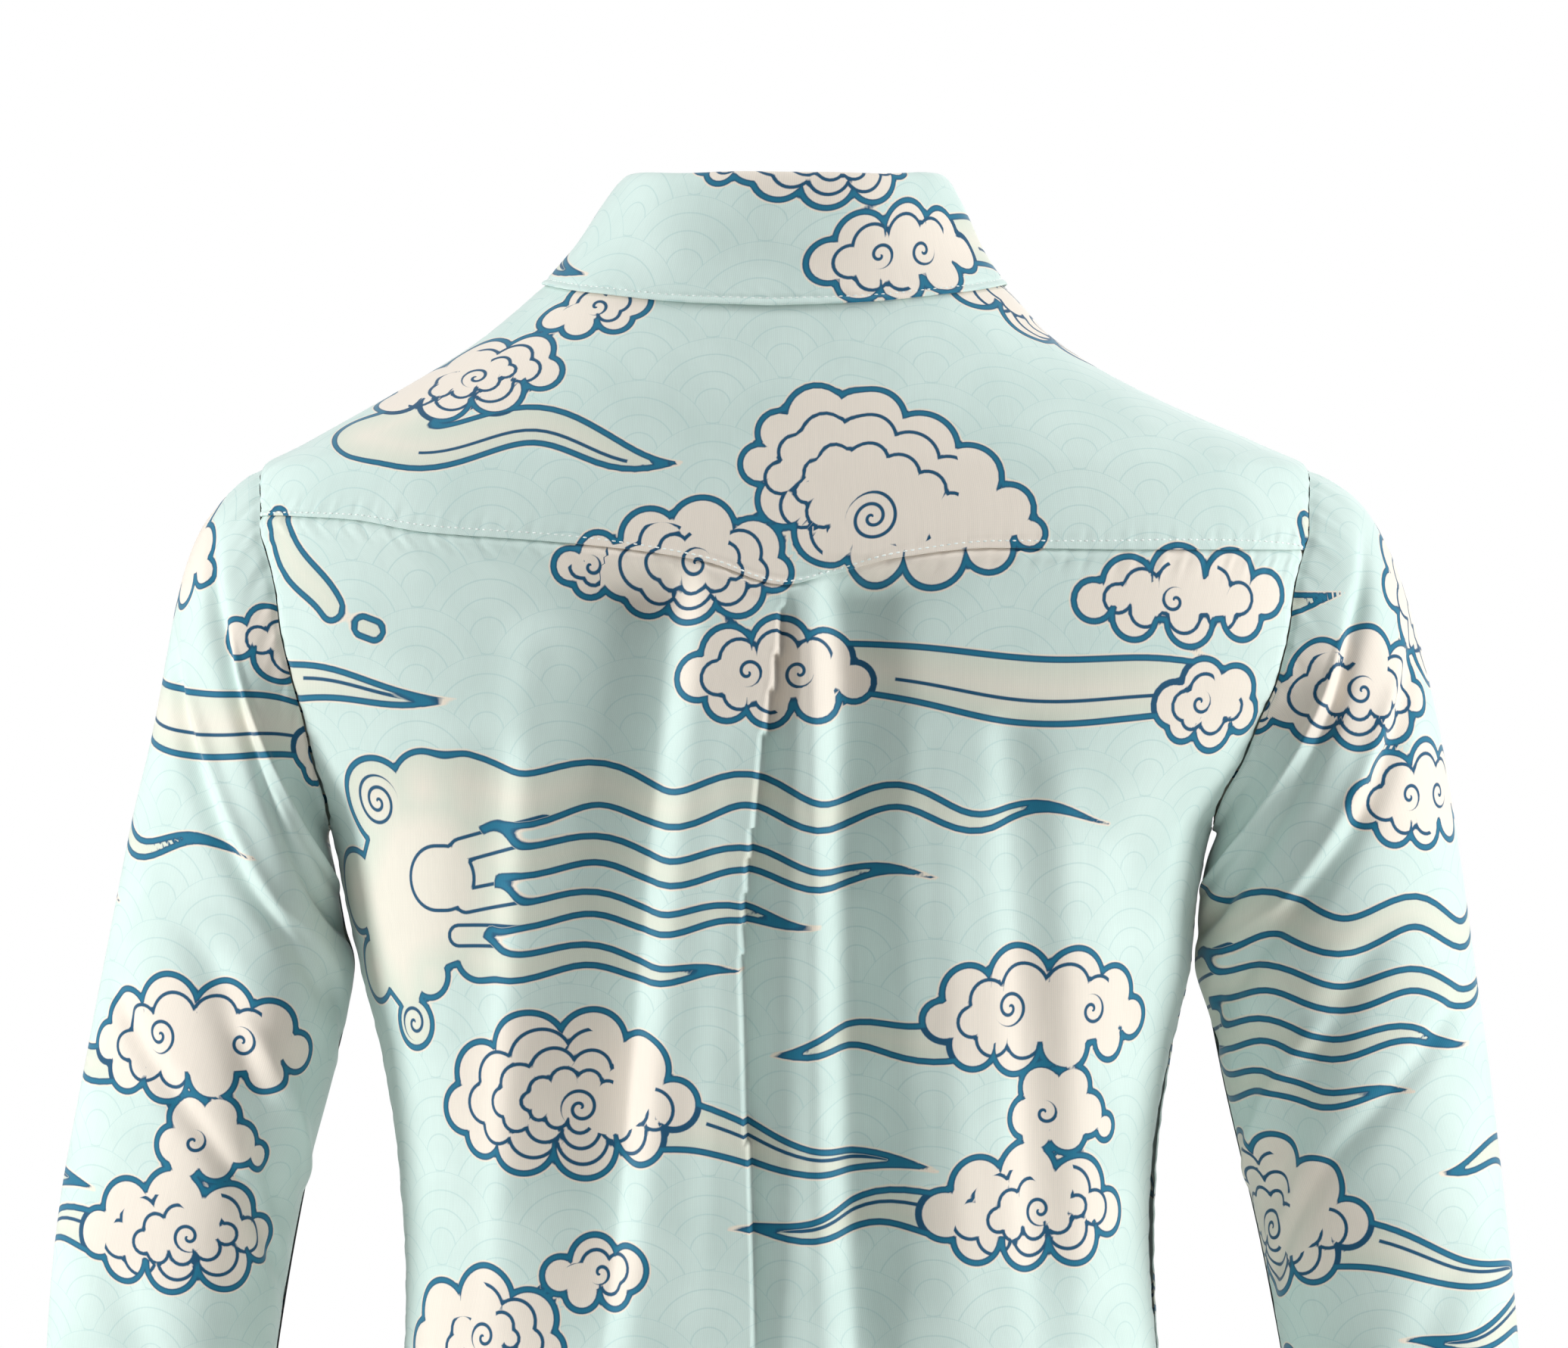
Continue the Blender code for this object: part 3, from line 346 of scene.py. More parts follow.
def joined(first, second, roundness=8.0):  # two fields made one, with rounded inside corners
    near = np.maximum(roundness - np.abs(first - second), 0)
    return np.maximum(first, second) + near * near / (4 * roundness)


def trailFields(x, y, trail):  # depth inside a waving trail, its inner line, and where that shows
    start, end, swing, waves, phase, widths, inner = trail
    run = np.subtract(end, start)
    length = np.hypot(*run)
    steps = max(int(length / 5), 12)
    t = np.linspace(0, 1, steps + 1)
    across = np.array([-run[1], run[0]]) / length
    swing = swing * np.sin(2 * math.pi * waves * t + phase) * (0.5 + 0.5 * np.sin(math.pi * t))
    middle = run * (t[:, None] - 0.5) + swing[:, None] * across
    width = through(np.linspace(0, 1, len(widths)), widths, t)
    outside = printRepeat["outside"]
    field, nearest, line, shown = (np.full(x.shape, value) for value in (outside, 1e9, -outside, outside))
    for i in range(steps):
        share, distance, side = alongLine(x, y, *middle[i], *middle[i + 1])
        radius = width[i] + (width[i + 1] - width[i]) * share
        thick = eased((radius - printRepeat["tip"]) / printRepeat["tipFade"])
        solid = printRepeat["tipLine"] - outside * thick
        field = np.maximum(field, np.minimum(radius - distance, solid))  # a thin tip is all line
        closer = distance < nearest
        nearest = np.where(closer, distance, nearest)
        line = np.where(closer, side - inner * radius, line)
        place = (t[i] + share / steps) * length
        shown = np.where(closer, np.minimum(place - 0.2 * length, 0.84 * length - place), shown)
    return field, line, shown if inner else np.full(x.shape, outside)


def nearby(u, v, place, reach):  # the points within reach of a place, and their x and y from it
    x, y = localTo(u, v, place)
    near = np.hypot(x, y) < reach
    return near, x[near], y[near]


def printFields(u, v):  # everything the print's material needs at a point, in millimetres
    outside = printRepeat["outside"]
    cloud, rows, rowsShown, curl, mist, marks, marksShown = (np.full(u.shape, outside) for _ in range(7))
    curlX, curlY = (np.full(u.shape, -outside) for _ in range(2))

    def keep(targets, near, values):  # the last field says which of the two stays
        better = values[-1] > targets[-1][near]
        for target, value in zip(targets, values):
            target[near] = np.where(better, value, target[near])

    for one in clouds:
        near, x, y = nearby(u, v, one["at"], 100)
        rings = np.full(x.shape, outside)
        for number, size in enumerate(one["rows"]):
            ring = lobeField(x, y, one["lobes"], one["heart"], size, one["turn"] * (number + 1))
            rings = np.minimum(rings, -ring) if number % 2 else np.maximum(rings, ring)
        x0, y0 = x - one["heart"][0], y - one["heart"][1]
        away = np.hypot(x0, y0)
        start, span = one["open"]
        around = (np.degrees(np.arctan2(y0, x0)) - start - 3 * away + 180) % 360 - 180
        shut = (np.abs(around) - span / 2) * math.pi / 180 * away
        keep((rows, rowsShown, cloud), near, (rings, shut, lobeField(x, y, one["lobes"])))
    for one in mistBodies:
        near, x, y = nearby(u, v, one["at"], 110)
        mist[near] = joined(mist[near], lobeField(x, y, one["lobes"]))
        loops = np.full(x.shape, outside)
        for ax, ay, bx, by, radius in one["marks"]:
            loops = np.maximum(loops, radius - alongLine(x, y, ax, ay, bx, by)[1])
        keep((marks, marksShown), near, (loops, 4 - np.abs(loops)))
    for trail in trails:
        start, end = np.array(trail[:2], float)
        near, x, y = nearby(u, v, (start + end) / 2, np.hypot(*(end - start)) / 2 + 40)
        field, line, shown = trailFields(x, y, trail)
        mist[near] = joined(mist[near], field)
        keep((marks, marksShown), near, (line, np.minimum(shown, 4 - np.abs(line))))
    for one in clouds + mistBodies:
        for atX, atY, radius, turn, hand in one["curls"]:
            near, x, y = nearby(u, v, np.array(one["at"]) + (atX, atY), 40)
            sine, cosine = math.sin(math.radians(turn)), math.cos(math.radians(turn))
            local = (x * cosine + y * sine, hand * (y * cosine - x * sine))
            keep((curlX, curlY, curl), near, (*local, radius - np.hypot(x, y)))
    return {"cloud": (cloud, rows, rowsShown), "curl": (curlX, curlY, curl),
            "mist": (mist, marks, marksShown), "ground": (u, v, 0 * u)}


def flatCut(points):  # each point's place on the flat cloth, for the weave
    along, down = runs(points, 1), runs(points, 0)
    middle = along.shape[1] // 2
    return stacked(along - along[:, [middle]], -down[:, [middle]] + 0 * along)


# A panel is a grid of points with the way out of the cloth, its place in the print and its cut
def panel(points, inside, printed, cut=None):
    out = np.cross(np.gradient(points, axis=0), np.gradient(points, axis=1))
    out /= np.maximum(np.linalg.norm(out, axis=-1, keepdims=True), 1e-9)
    if ((points - inside) * out).sum() < 0:
        out = -out
    return {"points": points, "out": out, "printed": printed, "cut": printed if cut is None else cut}


def turnedIn(cloth, rows, gap=0.9):  # the last row's edge turned in and back over this many rows
    down = cloth["points"][-1:] - cloth["points"][-2:-1]
    down /= np.linalg.norm(down, axis=-1, keepdims=True)
    behind = slice(-2, -2 - rows, -1)
    made = {}
    for name, values in cloth.items():
        edge, out = values[-1:], cloth["out"][-1:]
        roll, back = [edge] * 3, values[behind]
        if name == "points":
            roll = [edge + gap * (beyond * down - under * out)
                    for beyond, under in ((0.4, 0.2), (0.4, 0.75), (0, 1))]
            back = back - gap * cloth["out"][behind]
        made[name] = np.concatenate([values, *roll, back])
    return made


def hemmed(cloth, gap):  # the foot and both sides turned in
    cloth = turnedIn(cloth, 4, gap)
    cloth = turnedIn({name: np.swapaxes(values, 0, 1) for name, values in cloth.items()}, 4, gap)
    return turnedIn({name: values[::-1] for name, values in cloth.items()}, 4, gap)


def runs(points, axis):  # how far each point is along its row or column
    step = np.linalg.norm(np.diff(points, axis=axis), axis=-1)
    start = np.zeros_like(np.take(step, [0], axis=axis))
    return np.concatenate([start, np.cumsum(step, axis=axis)], axis=axis)


def edgeDistances(points):
    along, down = runs(points, 1), runs(points, 0)
    return {"left": along, "right": along[:, -1:] - along, "top": down, "foot": down[-1:] - down}


def groove(distance, depth, width):
    return -depth * np.exp(-((distance / width) ** 2))


def puckers(distance, along, height, reach, seed, length):
    return height * ripple(along, seed, length) * np.exp(-((distance / reach) ** 2))


# A seam's groove, its depth and width, and the puckers beside it: where their middle is, how high they
# are, how far they reach and how long they are
seams = {
    "backArmhole": (1.0, 2.2, 4, 0.55, 6, 11), "armhole": (1.0, 2.2, 4, 0.5, 6, 11),
    "side": (0.7, 1.6, 3, 0.35, 5, 14), "shoulder": (0.8, 1.8, 4, 0.35, 5, 10),
    "hem": (0.35, 1.2, -6, 0.3, 7, 16), "placket": (0.3, 2, 4, 0.3, 5, 12),
    "sleeveHead": (1.0, 2.0, 4, 0.7, 6.5, 12), "sleeveFoot": (1.2, 1.8, 8, 1.1, 12, 21),
    "cuff": (0, 1, 1, 0.25, 4, 9), "stand": (0.6, 1.6, 3, 0.25, 4, 8), "leaf": (-0.55, 2.2, 4, 0.3, 4, 8),
}


def seamed(name, distance, along, seed):
    depth, width, middle, height, reach, length = seams[name]
    return groove(distance, depth, width) + puckers(distance - middle, along, height, reach, seed, length)


def bodySeams(base, apart, arm, armSeed, sideSeed, hemSeed):  # the seams at a body panel's sides and its hem
    side = np.minimum(apart["left"], apart["right"])
    start, blend = body["sideFrom"]
    above = eased((base[..., 2] - start) / blend)
    lift = above * seamed(arm, side, apart["top"], armSeed)
    lift = lift + (1 - above) * seamed("side", side, apart["top"], sideSeed)
    return lift + seamed("hem", apart["foot"] - body["hemTurn"], apart["left"], hemSeed)


def shoulderSeams(base, apart):
    start, blend = body["shoulderFrom"]
    onShoulder = eased((np.abs(base[..., 0]) - start) / blend)
    return onShoulder * seamed("shoulder", apart["top"], apart["left"], 3.3)


def evenly(start, end, step, near=(), fine=0.7):  # places along a length, closer together at seams
    places, at = [start], start
    while at < end - 0.4 * fine:
        apart = min([abs(at - seam) for seam in near] or [1e9])
        at += min(step, fine + 0.22 * max(apart - 4, 0))
        places.append(at)
    places[-1] = end
    return np.array(places)


def newPiece(name, bm, material):
    mesh = bpy.data.meshes.new(name)
    bm.to_mesh(mesh)
    bm.free()
    mesh.shade_smooth()
    mesh.materials.append(material)
    piece = bpy.data.objects.new(name, mesh)
    bpy.context.scene.collection.objects.link(piece)
    return piece


def makeCloth(name, cloth):
    rows, columns = cloth["points"].shape[:2]
    bm = bmesh.new()
    bmesh.ops.create_grid(bm, x_segments=columns - 1, y_segments=rows - 1, size=1)
    piece = newPiece(name, bm, ribbedShirting)
    mesh, flat = piece.data, cloth["points"].reshape(-1, 3)
    mesh.vertices.foreach_set("co", (flat * mm).astype(np.float32).ravel())
    mesh.update()
    faces = np.zeros(len(mesh.polygons) * 4, np.int32)
    mesh.polygons.foreach_get("vertices", faces)
    corner = flat[faces.reshape(-1, 4)]
    normal = np.cross(corner[:, 2] - corner[:, 0], corner[:, 3] - corner[:, 1])
    if (normal * cloth["out"].reshape(-1, 3)[faces.reshape(-1, 4)[:, 0]]).sum() < 0:
        mesh.flip_normals()
    loops = np.zeros(len(mesh.loops), np.int32)
    mesh.loops.foreach_get("vertex_index", loops)
    uvMap = mesh.uv_layers.new(name="cut")
    uvMap.data.foreach_set("uv", (cloth["cut"].reshape(-1, 2)[loops] * mm).astype(np.float32).ravel())
    for field, values in printFields(*cloth["printed"].reshape(-1, 2).T).items():
        layer = mesh.attributes.new(field, "FLOAT_VECTOR", "POINT")
        layer.data.foreach_set("vector", stacked(*values).astype(np.float32).ravel())
    return piece


def declare(piece, node):
    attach(piece, "root")
    if node:
        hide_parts(node)


# Stitches lie along a line of points, each a small grain of thread
stitch = {"size": (1.05, 0.425, 0.3), "pitch": 3.2, "sink": 0.05}


def stitchLine(bm, points, out):
    way = runs(points[None], 1)[0]
    count = int(way[-1] / stitch["pitch"])
    places = (np.arange(count) + 0.5) * way[-1] / count
    at, up, ahead = (stacked(*(np.interp(spots, way, column) for column in values.T))
                     for spots, values in ((places, points), (places, out), (places + 0.5, points)))
    size = Matrix.Diagonal(Vector(stitch["size"]) * mm).to_4x4()
    for spot, lift, front in zip(at, up, ahead):
        x, z = Vector(front - spot).normalized(), Vector(lift).normalized()
        y = z.cross(x).normalized()
        turn = Matrix((x, y, x.cross(y))).transposed().to_4x4()
        place = Matrix.Translation(Vector(spot - stitch["sink"] * lift) * mm)
        bmesh.ops.create_uvsphere(bm, u_segments=6, v_segments=4, radius=1, matrix=place @ turn @ size)


def makeStitches(name, lines):
    bm = bmesh.new()
    for points, out in lines:
        stitchLine(bm, points, out)
    declare(newPiece(name, bm, polyesterThread), None)


def rowNear(cloth, distance, edge):  # the row or column that lies this far from an edge
    apart = edgeDistances(cloth["points"])[edge]
    if edge in ("top", "foot"):
        i = int(np.argmin(np.abs(apart.mean(axis=1) - distance)))
        return cloth["points"][i], cloth["out"][i]
    i = int(np.argmin(np.abs(apart.mean(axis=0) - distance)))
    return cloth["points"][:, i], cloth["out"][:, i]


# Back, yoke and front
body = {
    "step": 1.9, "hemTurn": 14, "backColumns": 286, "frontColumns": 250, "hold": 1.5, "hem": -738,
    "backTop": -141, "backDrop": 106, "frontTop": -70, "frontDrop": 177, "printAt": (214, 66),
    "yokeLength": 150, "yokeBefore": 2 / 7, "yokeStitchIn": 2.7,
    "sideFrom": (-262, 20), "shoulderFrom": (70, 12),
    "neckShares": [0, 0.022, 0.048, 0.08, 0.12, 0.165, 0.215, 0.275, 0.345, 0.425, 0.51],
    "seamShares": [0.51, 0.61, 0.71, 0.81, 0.905, 1], "shoulderShares": [0, 0.22, 0.44, 0.64, 0.83, 1],
}
inMiddle = np.array([0, 0, -300.0])


def evenShares(count):  # shares from -1 to 1 that divide the back into even widths
    angle = np.linspace(-90, 90, 721)
    way = runs(smoothTorso(angle, np.full(angle.shape, -300.0))[None], 1)[0]
    return np.interp(np.linspace(0, way[-1], count), way, angle) / 90


def spread(share, edgeAngle):
    return 90 * share * (1 - (1 - edgeAngle / 90) * np.abs(share) ** body["hold"])


def seamRow(shares):  # the angles and heights of the seam under the yoke
    ends = [armhole(seamStation(side), side) for side in (-1, 1)]
    angles = spread(shares, np.where(shares > 0, ends[1][0], -ends[0][0]))
    x = smoothTorso(angles, np.full(angles.shape, -122.0))[:, 0]
    heights = through(yokeSeam["x"], yokeSeam["z"], x)
    blend = eased((np.abs(shares) - 0.93) / 0.07)
    return angles, heights + blend * (np.where(shares > 0, ends[1][1], ends[0][1]) - heights)


def backSurface(shares, down):  # down is how far below the seam a row is at the centre
    drop = body["backDrop"]
    t = np.clip(down / drop, None, 1)
    edges = []
    for side in (-1, 1):
        station = seamStation(side) + (180 - seamStation(side)) * t
        angle, z = armhole(station, side)
        z = np.where(down > drop, body["backTop"] - down, z)
        edges.append((np.minimum(np.where(down > drop, 90, side * angle), 90), z))
    (rightAngle, rightZ), (leftAngle, leftZ) = edges
    across = (shares + 1) / 2
    seamZ = seamRow(shares)[1]
    bend = seamZ - (seamZ[0] + (seamZ[-1] - seamZ[0]) * across)
    fade = 1 - eased(np.clip(t, 0, 1) * 7 / 6)
    z = rightZ[:, None] + (leftZ - rightZ)[:, None] * across + fade[:, None] * bend
    angle = spread(shares, np.where(shares > 0, leftAngle[:, None], rightAngle[:, None]))
    return angle, z


def makeBack():
    shares = evenShares(body["backColumns"])
    foot = body["backTop"] - body["hem"]
    down = evenly(-4, foot, body["step"], near=(0, foot), fine=0.8)
    angle, z = backSurface(shares, down)
    base = torsoPoint(angle, z)
    apart = edgeDistances(base)
    along, lap = apart["left"], down[:, None]
    lift = np.where(lap < 0, -1.1, groove(lap, 1.1, 1.2)) + puckers(lap - 4, along, 0.5, 4.5, 1.9, 8)
    lift = lift - groove(lap - 3, 0.75, 1.8) * (0.75 + 0.25 * ripple(along, 0.7, 23))
    lift = lift + bodySeams(base, apart, "backArmhole", 4.4, 2.2, 3.0)
    points = base + lift[..., None] * facing(smoothTorso, angle, z)
    smooth = smoothTorso(angle, z)
    way = runs(smooth, 1)
    start = np.array([np.interp(0, *line) for line in zip(smooth[..., 0], way)])[:, None]
    printed = stacked(start - way, smooth[..., 2])
    return panel(points, inMiddle, printed, flatCut(points))


def neckCorner():  # the angle where the shoulder seam meets the neckline
    angle = np.linspace(92, 160, 3000)
    return float(np.interp(neck["seamForward"], -smoothTorso(angle, neckHeight(angle))[:, 1], angle))


def inPlan(angle, z):
    return smoothTorso(np.asarray(angle, float), np.asarray(z, float))[..., :2]


def shoulderSeam(share, side):  # straight in plan from the neck to the armhole
    corner = neckCorner()
    start = inPlan(side * corner, neckHeight(corner))
    end = inPlan(*armhole(armholeShape["frontSeam"], side))
    spot = start + (end - start) * np.asarray(share)[..., None]
    return onTorso(spot[..., 0], spot[..., 1])


def makeYoke():
    shares = evenShares(body["backColumns"])
    columns = np.abs(shares)
    onNeck = columns <= body["seamShares"][0]
    neckShare = through(body["neckShares"], np.linspace(0, 1, 11), columns)
    seamShare = through(body["seamShares"], body["shoulderShares"], columns)
    side = np.sign(shares)
    corner = neckCorner()
    frontAngle = side * corner * neckShare
    frontZ = neckHeight(corner * neckShare)
    left, right = shoulderSeam(seamShare, 1), shoulderSeam(seamShare, -1)
    frontAngle = np.where(onNeck, frontAngle, np.where(side > 0, left[0], right[0]))
    frontZ = np.where(onNeck, frontZ, np.where(side > 0, left[1], right[1]))
    seamAngle, seamZ = seamRow(shares)
    down = evenly(0, body["yokeLength"], body["step"], near=(0, body["yokeLength"]), fine=0.75)
    t = down / body["yokeLength"]
    edges, before = {}, body["yokeBefore"]  # the share of the yoke's side before the armhole's top
    for end in (-1, 1):
        behind = seamStation(end) * (t - before) / (1 - before)
        edges[end] = armhole(np.where(t < before, armholeShape["frontSeam"] * (1 - t / before), behind), end)
    plan = [inPlan(frontAngle, frontZ), inPlan(seamAngle, seamZ), inPlan(*edges[-1]), inPlan(*edges[1])]
    s = ((shares + 1) / 2)[None, :, None]
    t = t[:, None, None]
    spot = (1 - t) * plan[0] + t * plan[1] + (1 - s) * plan[2][:, None] + s * plan[3][:, None]
    for share, row in ((1 - t, plan[0]), (t, plan[1])):
        spot = spot - share * ((1 - s) * row[0] + s * row[-1])
    angle, z = onTorso(spot[..., 0], spot[..., 1])
    angle[-1], z[-1] = seamAngle, seamZ
    angle[0], z[0] = frontAngle, frontZ
    angle[:, 0], z[:, 0] = edges[-1]
    angle[:, -1], z[:, -1] = edges[1]
    base = torsoPoint(angle, z)
    apart = edgeDistances(base)
    seamAway, armAway = apart["foot"], np.minimum(apart["left"], apart["right"])
    lift = groove(seamAway, -0.5, 3.4) + groove(seamAway - body["yokeStitchIn"], 0.55, 0.9)
    lift = lift + puckers(seamAway - 5, apart["left"], 0.4, 4, 1.2, 7.5)
    lift = lift + seamed("armhole", armAway, apart["top"], 0.4) + shoulderSeams(base, apart)
    points = base + lift[..., None] * facing(smoothTorso, angle, z)
    seam = smoothTorso(seamAngle, seamZ)
    seamWay, seamX = runs(seam[None], 1)[0], seam[:, 0]
    middle = np.interp(0, seamX, seamWay)
    pu = -(np.interp(base[..., 0], seamX, seamWay) - middle)
    printed = stacked(pu, seamZ + seamAway)
    return panel(points, inMiddle, printed, flatCut(points))


def neckAngle(x):  # the angle on the neckline's front this far to the left of the centre line
    angle = np.linspace(neckCorner(), 180, 4000)
    across = {side: side * inPlan(side * angle, neckHeight(angle))[:, 0] for side in (-1, 1)}
    reach = {side: np.interp(-np.abs(x), -across[side], angle) for side in (-1, 1)}
    return np.where(np.asarray(x) >= 0, reach[1], -reach[-1])


def frontHalf(side, inner, outer, down):  # rows of angles and heights from the centre line to one side
    corner = neckCorner()
    cornerX = inPlan(side * corner, neckHeight(corner))[0]
    r = np.clip(down / body["frontDrop"], 0, 1)[:, None]
    below = down[:, None] > body["frontDrop"]
    edgeAngle, edgeZ = armhole(armholeShape["frontSeam"] * (1 - r) - 180 * r, side)
    edgeZ = np.where(below, body["frontTop"] - down[:, None], edgeZ)
    edgeAngle = side * np.maximum(np.where(below, 90, np.abs(edgeAngle)), 90)
    startAngle, startZ = armhole(armholeShape["frontSeam"], side)
    rise = 1 - r
    x = inner * cornerX
    neckAt = neckAngle(x)
    innerZ = edgeZ + rise * (neckHeight(neckAt) - startZ)
    innerAngle = angleAt(np.broadcast_to(x, innerZ.shape), innerZ, False) % 360
    seamAngle, seamZ = shoulderSeam(outer, side)
    outerZ = edgeZ + rise * (seamZ - startZ)

    def beyond(z, edge):
        start = angleAt(np.full(z.shape, cornerX), z, False) % 360
        return start + outer * (edge % 360 - start)

    bend = seamAngle % 360 - beyond(seamZ, startAngle)
    outerAngle = beyond(outerZ, edgeAngle) + rise * bend
    return np.concatenate([innerAngle, outerAngle], axis=1), np.concatenate([innerZ, outerZ], axis=1)


def makeFront():
    half = body["frontColumns"] // 2
    inner = np.linspace(0, 1, int(half * 0.34))[:-1]
    outer = np.linspace(0, 1, half - len(inner))
    foot = body["frontTop"] - body["hem"]
    down = evenly(0, foot, body["step"] * 1.15, near=(0, foot), fine=0.9)
    rightAngle, rightZ = frontHalf(-1, inner, outer, down)
    leftAngle, leftZ = frontHalf(1, inner, outer, down)
    angle = np.concatenate([rightAngle[:, :0:-1], leftAngle], axis=1)
    z = np.concatenate([rightZ[:, :0:-1], leftZ], axis=1)
    base = torsoPoint(angle, z)
    apart = edgeDistances(base)
    strip = np.hypot(np.maximum(np.abs(base[..., 0]) - placket["halfWidth"] - placket["cover"], 0),
                     np.maximum(placket["footZ"] - base[..., 2], 0))
    lift = bodySeams(base, apart, "armhole", 5.1, 2.9, 3.7) + shoulderSeams(base, apart)
    lift = lift + seamed("placket", strip, base[..., 2], 1.0)
    points = base + lift[..., None] * facing(smoothTorso, angle, z)
    smooth = smoothTorso(angle, z)
    way, fall = runs(smooth[..., :2], 1), runs(smooth, 0)
    level = int(np.argmin(np.abs(down - body["frontDrop"])))
    printed = stacked(way - way[:, [half - 1]], smooth[level, :, 2] + fall[level] - fall)
    printed = printed + body["printAt"]
    return panel(points, inMiddle, printed, flatCut(points))


def cutSlit(piece, halfWidth, footZ):  # the slit that the strips of the placket cover
    bm = bmesh.new()
    bm.from_mesh(piece.data)
    bm.faces.ensure_lookup_table()
    gone = [face for face in bm.faces if abs(face.calc_center_median().x) < halfWidth * mm
            and face.calc_center_median().z > footZ * mm and face.calc_center_median().y < 0]
    bmesh.ops.delete(bm, geom=gone, context="FACES")
    bm.to_mesh(piece.data)
    bm.free()


# Sleeves: rings from the armhole down, outer and inner being a ring's ends as seen from behind
sleeve = {
    "flat": {1: ((0.44, 0.589), 0.1613), -1: ((0.446, 0.592), 0.1675)},
    "outerZ": [-102, -118, -143, -173, -207, -243, -280, -312, -345, -376, -408, -448, -500, -555, -610,
               -656],
    "innerZ": [-249.6, -253, -259, -267, -278, -291, -307, -331, -362, -394, -425, -462, -510, -562,
               -614, -658],
    "leftOuter": [244.5, 256.5, 265.5, 271.5, 278, 286.5, 293.7, 299.5, 305.6, 311.3, 316.8, 321.5, 325,
                  326, 324, 320.5],
    "leftInner": [200.3, 200.4, 198.8, 196.7, 194.6, 192.2, 188.2, 192.2, 199.8, 208, 214.6, 221, 227.5,
                  233.5, 239, 243],
    "rightOuter": [249, 261, 271.5, 280, 287.5, 293.5, 299, 303, 307.5, 311.8, 316, 320.5, 324, 325,
                   323, 319.5],
    "rightInner": [189.2, 188, 185.8, 184, 182.4, 181.2, 180, 186.6, 193.4, 200.6, 207.6, 215, 223.5,
                   231, 237.5, 242],
    "halfDepth": [58, 59, 60, 60, 59.5, 58.5, 57.5, 56.5, 55.5, 54.5, 53.5, 52, 49.5, 46, 42, 38],
    "midY": [-5, -5, -5, -5, -5, -5, -5, -5, -5, -6, -8, -13, -22, -33, -44, -53],
    "carry": [0.86, 0.66, 0.46, 0.28, 0.14, 0.05, 0, 0, 0, 0, 0, 0, 0, 0, 0, 0],
    "atArmhole": {"halfDepth": 57.5, "midY": -4.6, "carry": 1},
    "skew": {1: 0.38, -1: 0.0}, "columns": 190, "step": 1.6,
    "cuffHeight": 56, "cuffLap": 1.5, "cuffStitchIn": 2.8,
    "printAt": {1: (375, 4), -1: (-292, 44.5)}, "cuffPrintAt": (120, 760),
}
# Soft folds of the sleeves: station and ring at the top, the same at the foot, half width, lift
sleeveFolds = [
    (58, 2.2, 152, 5.6, 12, -5), (84, 2.4, 162, 4.4, 8, 2.4), (40, 4.2, 140, 7.4, 11, -4.6),
    (64, 4.4, 158, 7.8, 8, 2.6), (84, 7.6, 144, 10.4, 11, -4.4), (50, 8.6, 150, 11.2, 9, -3.4),
    (110, 8.4, 168, 10.0, 8, 2.6), (128, 6.6, 172, 8.2, 7, -3), (-50, 3, -140, 6.5, 15, -5),
    (-34, 5, -126, 8.2, 12, -3.6), (-60, 10, -120, 11.5, 15, -5), (70, 12, 120, 14, 14, -3),
    (-80, 13, -130, 14.6, 12, -2.6), (20, 13.4, 84, 15.4, 9, -2.2),
]


def sleeveRing(ring, station, side):
    atArmhole = torsoPoint(*armhole(station, side))
    (topX, _, topZ), (footX, _, footZ) = (torsoPoint(*armhole(end, side)) for end in (0.0, 180.0))
    name = "left" if side > 0 else "right"
    rings = range(len(sleeve["outerZ"]) + 1)

    def value(key, first):
        return through(rings, [first] + list(sleeve[key]), ring)[:, None]

    halfDepth, midY, carry = (value(key, first) for key, first in sleeve["atArmhole"].items())
    outerX, innerX = side * value(name + "Outer", side * topX), side * value(name + "Inner", side * footX)
    outerZ, innerZ = value("outerZ", topZ), value("innerZ", footZ)
    turn = np.radians(station)
    lean = (1 + np.cos(turn)) / 2

    def oval(outer, inner):
        return inner + (outer - inner) * lean

    # the back's crest lies nearer to the body, which flattens the outer side
    skew = sleeve["skew"][side] * eased((np.asarray(ring)[:, None] - 1) / 4) * np.maximum(np.sin(turn), 0)
    y, first = midY + halfDepth * np.sin(turn - skew), sleeve["atArmhole"]
    own = stacked(oval(outerX, innerX), y, oval(outerZ, innerZ))
    y = first["midY"] + first["halfDepth"] * np.sin(turn)
    plain = stacked(oval(topX, footX), y, oval(topZ, footZ))
    return own + carry[..., None] * (atArmhole - plain)


def sleeveFoldLift(ring, station):
    lift = np.zeros((len(ring), len(station)))
    for stationTop, ringTop, stationFoot, ringFoot, halfWidth, out in sleeveFolds:
        along = (ring[:, None] - ringTop) / (ringFoot - ringTop)
        middle = stationTop + (stationFoot - stationTop) * along
        strength = eased(1 + along / 0.3) * eased(1 + (1 - along) / 0.3)
        lift = lift + out * strength * np.exp(-(((station - middle) / halfWidth) ** 2))
    return lift


